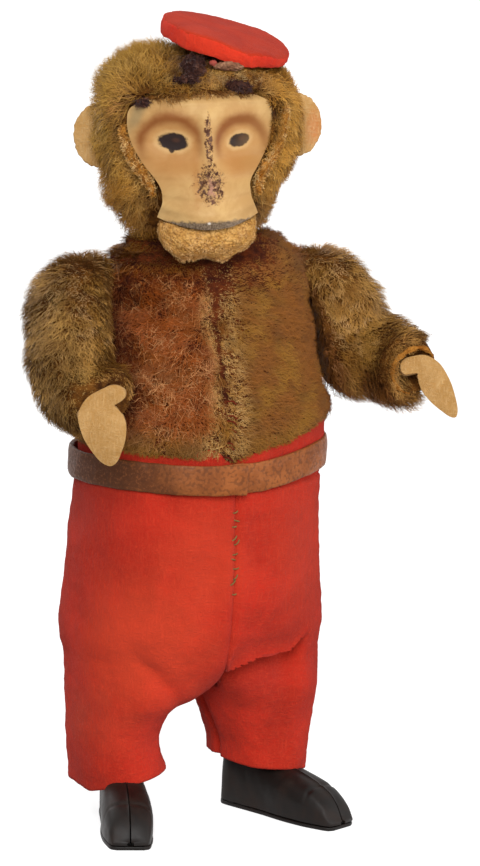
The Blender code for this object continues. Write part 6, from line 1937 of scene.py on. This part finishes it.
@dataclass
class Cap:
    """The round felt cap, a disc on a short wall, glued on askew."""
    radius: float = 15.3
    height: float = 3.4
    felt: float = 1.2
    middle: Triple = (6.6, -1.0, 44.3)
    roll: float = 18.6
    pitch: float = 8.0

    def build(self, top: Material, wall: Material) -> None:
        """Make the disc and the wall under it."""
        seat = (HEAD @ Matrix.Translation(Vector((self.middle[0], self.middle[1], self.middle[2] + HEAD_BASE)) * MM)
                @ Matrix.Rotation(math.radians(self.roll), 4, "Y") @ Matrix.Rotation(math.radians(self.pitch), 4, "X"))
        half = self.height / 2

        def sag(co: Vector) -> Vector:
            """The felt is uneven: a low dome, a dip and a fuzzy outline."""
            reach = math.hypot(co.x, co.y) / self.radius
            wave = 0.5 * noise.noise(co / 8) + 0.22 * math.sin(math.atan2(co.y, co.x) * 3 + 0.8) * reach
            fuzzy = 1 + 0.010 * noise.noise(co / 1.6) + 0.008 * noise.noise(co / 5)
            dent = 1.1 * reach ** 2 * math.exp(-((math.atan2(co.y, co.x) - 0.9) / 0.6) ** 2)
            low = 1 - 0.62 * smooth_step(co.x / self.radius, -0.1, 1.0) if co.z < 0 else 1.0
            return Vector((co.x * fuzzy, co.y * fuzzy, co.z * low + wave + dent + 1.2 * (1 - reach * reach)))

        profile = ((0.0, half), (0.30, half), (0.60, half), (0.86, half), (0.945, half - 0.05), (0.985, half - 0.25),
                   (1.0, half - 0.55), (0.985, half - self.felt + 0.1), (0.93, half - self.felt),
                   (0.5, half - self.felt))
        disc = Form.turned([(self.radius * share, z) for share, z in profile], 96)
        bmesh.ops.holes_fill(disc.bm, edges=disc.bm.edges)
        disc.facing_out().divide(1).move(sag)
        disc.bm.normal_update()
        disc.ripple(0.10, 1.4, 3, 3)
        piece = disc.placed(Matrix.Scale(MM, 4)).placed(seat).finished("cap_disc", top, 60)
        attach(piece, "head")
        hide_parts("cap_top")

        rows = ((0.96, half - 0.5), (0.998, half - 0.42), (1.008, half - 0.75), (1.008, -half * 0.3),
                (0.995, -half - 0.2), (0.985, -half - 0.6))
        band = Form.turned([(self.radius * share, z) for share, z in rows], 120)
        band.divide(1).facing_out().facing(lambda face: face.normal.x * face.calc_center_median().x).move(sag)
        band.bm.normal_update()
        band.walled(self.felt).ripple(0.16, 1.6, 5, 3)
        piece = band.placed(Matrix.Scale(MM, 4)).placed(seat).finished("cap_wall", wall, 60)
        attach(piece, "head")
        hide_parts("cap_band")


# ---------------------------------------------------------------- arms and hands

@dataclass
class Arm:
    """A stuffed mohair sleeve with a raw cuff, and its felt mitten.

    Each row of the sleeve says how far out, back and up its middle lies, and its half width and depth; the hand is
    its length, width and thickness. All are in millimetres.
    """
    side: Side
    rows: Rows
    wrist: Triple
    fingers: Triple
    seed: int
    shoulder_x: float = 27.0
    slope: float = 11.0
    inset: float = 0.9
    open_share: float = 0.7
    edge_arc: Pair = (0.0, 1.0)
    facing: Triple = (-0.42, -0.89, 0.17)
    hand: Triple = (17.2, 7.2, 1.7)
    thumb: float = 1.4
    # painted light: a factor that brightens the sleeve's strand colours
    painted_brightening: float = 1.0

    def spot(self, out: float, back: float, up: float) -> Vector:
        """A place in mm out from the shoulder pin."""
        return Vector((self.side.value * (self.shoulder_x + out), back, up))

    @property
    def body(self) -> str:
        """The CAD body that the arm moves with."""
        return self.side.word + "_arm_and_hand"

    def stand(self, tangent: Vector) -> Matrix:
        """Axes across the sleeve, with z along it."""
        across = (Vector((1, 0, 0)) - tangent * tangent.x).normalized()
        return Matrix((across, tangent.cross(across), tangent)).transposed()

    def hoops(self) -> list[Hoop]:
        """The sleeve's rings from its domed top to the cuff, in mm."""
        line = [self.spot(*row[:3]) for row in self.rows]
        last = len(line) - 1
        tangents = [(line[min(i + 1, last)] - line[max(i - 1, 0)]).normalized() for i in range(last + 1)]
        outward = Vector((self.side.value * math.cos(math.radians(self.slope)), 0, math.sin(math.radians(self.slope))))
        half, deep = self.rows[0][3], self.rows[0][4]
        made = []
        for rise_share, size in ((0.86, 0.36), (0.68, 0.68), (0.36, 0.91)):
            middle = line[0] - tangents[0] * (deep * rise_share - self.inset) - outward * half * (1 - size)
            skin = self.inset * 0.8
            made.append(Hoop(middle, half * size - skin, deep * size - skin, self.stand(tangents[0])))
        for point, tangent, row in zip(line, tangents, self.rows):
            made.append(Hoop(point, row[3] - self.inset, row[4] - self.inset, self.stand(tangent)))
        return made

    def sleeve(self, cloth: Material, dark: Material) -> Piece:
        """Make the stuffed sleeve, pressed flat where the body is."""
        form = Form.loft(self.hoops(), 40).divide(1, 0.6).move(lambda co: at(*co))
        piece = form.finished(self.side.word + "_sleeve", cloth)
        stuffed(piece, voxel=1.4 * MM, pressure=3.5, most=0.6 * MM)
        end = self.hoops()[-1]
        cuff, along = at(*end.middle), end.stand @ Vector((0, 0, 1))
        torso = Torso()

        def press(co: Vector) -> Vector:
            """Keep the sleeve off the body, and sink the cuff's opening."""
            spot = (co - AXIS) / MM
            share = torso.share(spot.z)
            size = math.hypot(spot.x / (torso.width * share), spot.y / (torso.depth * share))
            if size < 1.03 and spot.z < 139:
                grow = 1.03 / max(size, 0.3)
                co = at(spot.x * grow, spot.y * grow, spot.z)
            local = end.stand.inverted() @ ((co - cuff) / MM)
            reach = math.hypot(local.x / end.across, local.y / end.deep)
            if local.z > -1.5:
                hollow = (6.0 * self.open_share - 1.0) * smooth_step(1 - reach, 0.16, 0.5)
                co = co - along * hollow * MM
            return co

        Form.of(piece).move(press).ripple(0.5 * MM, 7 * MM, self.seed, 4).back_to(piece)
        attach(piece, self.body)
        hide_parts(self.side.word + "_arm")
        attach(self.rim(end, cuff, dark), self.body)
        return piece

    def rim(self, end: Hoop, cuff: Vector, finish: Material) -> Piece:
        """The raw rolled edge round the cuff's opening."""
        points = []
        for step in range(37):
            turn = math.tau * (self.edge_arc[0] + (self.edge_arc[1] - self.edge_arc[0]) * step / 36)
            wave = 0.5 + 0.5 * math.sin(2 * turn + self.seed)
            local = Vector((end.across * 0.93 * math.cos(turn), end.deep * 0.93 * math.sin(turn), wave))
            points.append(cuff + (end.stand @ local) * MM)

        def radius(share: float) -> float:
            """The roll is uneven and thins out at both ends."""
            uneven = 0.45 + 0.12 * math.sin(share * 40)
            return (0.15 + uneven * math.sin(math.pi * min(max(share, 0.01), 0.99)) ** 0.4) * MM

        form = Form.rope(points, radius, sides=10, steps=150)
        form.ripple(0.3 * MM, 1.5 * MM, self.seed + 2, 3)
        return form.finished(self.side.word + "_cuff_edge", finish)

    def coat(self, places: Points, normals: Points, random: Chance) -> Coat:
        """The strands' looks: olive mohair combed down the sleeve, worn tan at the shoulder and cuff."""
        spot = (places - np.array(AXIS)) / MM
        x, y, z = spot.T
        count = len(x)
        line = np.array([self.spot(*row[:3]) for row in self.rows])
        far = np.linalg.norm(spot[:, None, :] - line[None], axis=2)
        nearest = far.argmin(1)
        tangents = unit(np.gradient(line, axis=0))
        along = tangents[nearest]
        down = nearest / (len(line) - 1)
        patch, fine, worn = (clouds(places, size, self.seed + k) for k, size in enumerate((8, 1.7, 3.4)))
        outer = rise(normals[:, 0] * self.side.value, -0.2, 0.8)
        # painted light: roots brightened by the sleeve's factor
        roots = plain("#653c17", count) * self.painted_brightening
        tips = blended(rise(patch + 0.6 * worn, -0.7, 0.7), linear("#916425"), linear("#c09044"))
        tips = dyed(tips, rise(fine, 0.3, 0.8) * 0.5, "#dbae6a")
        top = (1 - rise(down, 0.15, 0.5)) * rise(worn, -0.1, 0.5) * rise(-normals[:, 1], -0.2, 0.6)
        tips = dyed(tips, top * 0.75, "#d3a972")
        cuff = rise(down, 0.8, 1.0)
        tips = dyed(tips, cuff * 0.65, "#b98845")
        tips = dyed(tips, outer * 0.35, "#a68a56")
        facing = np.clip(-normals[:, 0] * self.side.value, 0, 1)
        torso = Torso()
        share = np.array([torso.share(height) for height in z.tolist()])
        size = np.hypot(x / (torso.width * share), y / (torso.depth * share))
        near = (1 - rise(size, 1.04, 1.16)) * (z < 137)
        under = rise(-normals[:, 2] - 0.4 * normals[:, 0] * self.side.value, 0.3, 0.9) * (self.side is Side.LEFT)
        # painted shade: darker where the sleeve lies close to the body, on its side facing the body and, on the left
        # arm, underneath
        tips = dyed(tips, rise(near + 0.6 * facing + 0.5 * under, 0.4, 1.0) * 0.75, "#6a3516")
        end = self.hoops()[-1]
        local = (spot - np.array(end.middle)) @ np.array(end.stand)
        # painted light: tips brightened by the sleeve's factor
        tips = np.clip(tips * self.painted_brightening, 0, 1)
        wrist, reach, thumb, _ = self.hand_axes()
        rel = spot - np.array(wrist)
        along_hand, across_hand = rel @ np.array(reach), np.abs(rel @ np.array(thumb))
        long, half = self.hand[0], self.hand[1] / 2
        hand = inside_band(along_hand, -2.5, long + 1, 1.0) * (1 - rise(across_hand, half + 0.3, half + 2))
        hand = hand * (normals[:, 1] < 0.2)
        opening = (local[:, 2] > -2.2) & (np.hypot(local[:, 0] / end.across, local[:, 1] / end.deep) < self.open_share)
        keep = (1 - 0.5 * near) * (~opening) * (1 - 0.35 * top)
        length = (1 - 0.35 * top) * (1 - 0.2 * cuff) * (1 - 0.4 * rise(near + facing * 0.5, 0.2, 0.9))
        length = length * (1 + 0.5 * under) * (1 - 0.7 * hand)
        swirl = np.stack([clouds(places, 6, self.seed + k) for k in (5, 6, 7)], 1)
        comb = along + np.array([self.side.value * 0.15, 0.0, -0.35]) + 0.75 * swirl
        return Coat(roots, tips, keep, length, np.full(count, 58.0) + 8 * patch + 18 * hand + 22 * near, comb)

    def hand_axes(self) -> tuple[Vector, Vector, Vector, Vector]:
        """Where the hand starts, and its directions to the fingertips, to the thumb and outward."""
        reach = Vector(self.fingers).normalized()
        out = Vector(self.facing).normalized()
        out = (out - reach * out.dot(reach)).normalized()
        return self.spot(*self.wrist), reach, out.cross(reach) * -self.side.value, out

    def mitten(self, felt: Material) -> Piece:
        """Make the flat felt hand, thumb up."""
        length, width, thick = self.hand
        half = width / 2
        shape = ((-.03, .25), (.03, -.35), (.12, -.72), (.25, -.97), (.40, -1), (.58, -.9), (.76, -.66), (.92, -.36),
                 (1, 0),
                 (.96, .32), (.84, .58), (.68, .84), (.5, .98), (.36, .92), (.25, .72), (.205, .62), (.17, .9),
                 (.12, self.thumb * .97), (.04, self.thumb), (-.03, self.thumb * .86), (-.06, self.thumb * .55))
        outline = [(along * length, across * half) for along, across in shape]
        wrist, reach, thumb, out = self.hand_axes()
        form = Form()
        closed = [Vector((x, y, 0)) for x, y in outline]
        count = 90
        smooth = [curve_through(closed + closed[:1], i / count) for i in range(count)]
        verts = [form.bm.verts.new(point) for point in smooth]
        face = form.bm.faces.new(verts)
        for _ in range(2):
            bmesh.ops.inset_region(form.bm, faces=[face], thickness=0.5, use_even_offset=True)
        bmesh.ops.triangulate(form.bm, faces=[item for item in form.bm.faces if len(item.verts) > 4])

        def bend(co: Vector) -> Vector:
            """Cup the felt a little and ripple its edge."""
            wave = 0.5 * noise.noise(Vector((co.x / 6, co.y / 6, self.seed)))
            wave = wave + 0.9 * (co.y / half) ** 2 * 0.5 - 0.02 * (co.x - length / 2) ** 2 * 0.5
            return Vector((co.x, co.y, thick / 2 + wave * 0.7))

        form.move(bend).facing_out().facing(lambda face: face.normal.z)
        form.bm.normal_update()
        form.walled(thick).eased(0.35, 2, 60)
        form.move(lambda co: at(*(wrist + reach * co.x + thumb * co.y + out * co.z)))
        piece = form.facing_out().finished(self.side.word + "_felt_hand", felt, 60)
        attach(piece, self.body)
        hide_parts(self.side.word + "_hand")
        return piece

    def build(self, cloth: Material, edge: Material, felt: Material, strands: Material) -> None:
        """Make the arm."""
        sleeve = self.sleeve(cloth, edge)
        pile = Pile(per_mm2=7.6, length=4.0, width=0.2, seed=70 + self.seed)
        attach(pile.grow(self.side.word + "_sleeve_pile", sleeve, self.coat, strands), self.body)
        self.mitten(felt)


# ---------------------------------------------------------------- clockwork

@dataclass
class Clockwork:
    """The metal parts that show as the CAD solids they are."""
    brass: tuple[str, ...] = (
        "great_wheel", "second_wheel", "crown_wheel", "motor_front_plate", "motor_back_plate", "motor_bridge")
    steel: tuple[str, ...] = (
        "winding_key", "winding_arbor", "mainspring", "ratchet_wheel", "click", "click_spring", "second_arbor",
        "first_pinion", "crown_arbor", "second_pinion", "crankshaft", "crank_pinion", "right_crank", "left_crank",
        "hip_axle", "right_shoulder_pin", "left_shoulder_pin", "neck_pin", "upper_right_pillar", "upper_left_pillar",
        "lower_right_pillar", "lower_left_pillar")
    tin: tuple[str, ...] = ("tin_body", "right_leg", "left_leg", "leg_bracket")

    def build(self) -> None:
        """Give each kept solid its metal."""
        finishes = {"brass": Metal("aged_brass", "#b08a4a", "#6b4d22", roughness=0.34),
                    "steel": Metal("old_steel", "#8d8a86", "#5a4636", roughness=0.38),
                    "tin": Metal("tinplate", "#a7a9aa", "#7c6a58", roughness=0.36)}
        for kind, finish in finishes.items():
            made = finish.material()
            for name in getattr(self, kind):
                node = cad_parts[name]
                node.data.materials.clear()
                node.data.materials.append(made)


# ---------------------------------------------------------------- the whole toy

def main() -> None:
    """Build the toy's looks in order."""
    logging.basicConfig(level=logging.INFO, format="%(message)s")
    Studio().build()
    LOG.info("studio")
    cloth = Backing("mohair_backing", "#402209", "#74481a").material()
    rust_cloth = Backing("chest_backing", "#351409", "#6a3013").material()
    edge = Backing("raw_cloth_edge", "#8a5218", "#c08439").material()
    strands = Strands("mohair_strands").material()
    thread = Backing("red_brown_thread", "#5a1d12", "#8c3a20").material()
    olive_thread = Felt("olive_thread", "#6b5a30", "#857040", "#a89058").material()

    Clockwork().build()
    LOG.info("clockwork")
    Torso().build(rust_cloth, strands, thread)
    LOG.info("torso")
    Trousers().build(Felt("red_felt", "#a62415", "#ba2a1a", "#cb4128", hair_share=0.35, patch=70.0), olive_thread)
    LOG.info("trousers")
    Belt().build(Leatherette("leatherette", "#7d431c", "#995729", "#45240f").material(at(-32, -6, 87)))
    LOG.info("belt")
    shoe_finish = PressedPaint("shoe_paint", "#100a07", "#20150f", "#8b837b", wear=0.17).material()
    sole_finish = PressedPaint("sole_paint", "#0f0a07", "#1c130f", "#8d867e", wear=0.2).material()
    for side in Side:
        Shoe().build(side, shoe_finish, sole_finish)
    LOG.info("shoes")
    face = TinFace()
    face.build(FacePaint("face_paint_on_tin").material())
    glue = Plush("dried_glue", "#80553d", "#a0765a", "#5f3d2c", size=900.0).material()
    torn = Felt("torn_red_felt", "#953f33", "#a74d3d", "#b96657").material()
    matted = Plush("matted_mohair", "#2c1613", "#4a2c20", "#180b09", size=700.0).material()
    Head().build(face, cloth, edge, strands, glue, torn, matted)
    LOG.info("head")
    Chin().build(Plush("worn_plush", "#c08c46", "#dbaa66", "#8f5f2a").material(), strands)
    flesh = Felt("flesh_felt", "#b28449", "#c4985f", "#dcba86", hair_share=0.4, patch=120.0)
    for side in Side:
        red_rim = ((in_head(28.2, 0.5, 22.0), Vector((2.0, 4.0, 4.5)) * MM, "#cc6f42", 0.5),)
        Ear().build(side, flesh.material(red_rim if side is Side.LEFT else ()))
    Cap().build(Felt("cap_top_felt", "#ad2a12", "#bb3216", "#c64226", hair_share=0.1, patch=110.0).material(),
                Felt("cap_wall_felt", "#c42a17", "#d4361f", "#de5036", hair_share=0.15, patch=110.0).material())
    LOG.info("face, chin, ears and cap")
    hand_felt = Felt("hand_felt", "#a97c43", "#bb8f57", "#d3af7b", hair_share=0.4, patch=120.0)
    cuff = Backing("cuff_edge", "#4f3017", "#b48a55").material()
    right = Arm(
        Side.RIGHT, rows=((8.9, -4, 127.2, 8.7, 11), (10.4, -8, 118.6, 9.2, 12), (11.0, -11.5, 111.0, 9.4, 11.6),
                          (10.2, -15, 106.6, 9.0, 10.2), (8.0, -18.8, 104.9, 10.2, 9.2), (5.9, -22.4, 104.0, 9.8, 7.6)),
        wrist=(11.85, -29.5, 108.25), fingers=(3.19, -1.0, -17.0), seed=3, open_share=0.42, edge_arc=(0.42, 0.80),
        hand=(17.4, 10.6, 1.7), thumb=1.16, painted_brightening=1.06)
    left = Arm(
        Side.LEFT, rows=((5.8, -1, 128.4, 8.9, 9.8), (8.3, -1.5, 116.6, 12.5, 10.4), (11.5, -4, 111.7, 12.6, 10.4),
                         (15.5, -9, 111.2, 10.2, 9.8), (17.4, -15.5, 109.8, 8.8, 8.8), (18.2, -22.5, 109.2, 7.2, 7.0)),
        wrist=(18.45, -23.7, 112.77), fingers=(7.8, -6.5, -13.97), seed=17, edge_arc=(0.05, 0.72), painted_brightening=1.16)
    for arm, trim in ((right, cuff), (left, edge)):
        arm.build(cloth, trim, hand_felt.material(), strands)
        LOG.info("%s arm", arm.side.word)


if __name__ == "__main__":
    main()
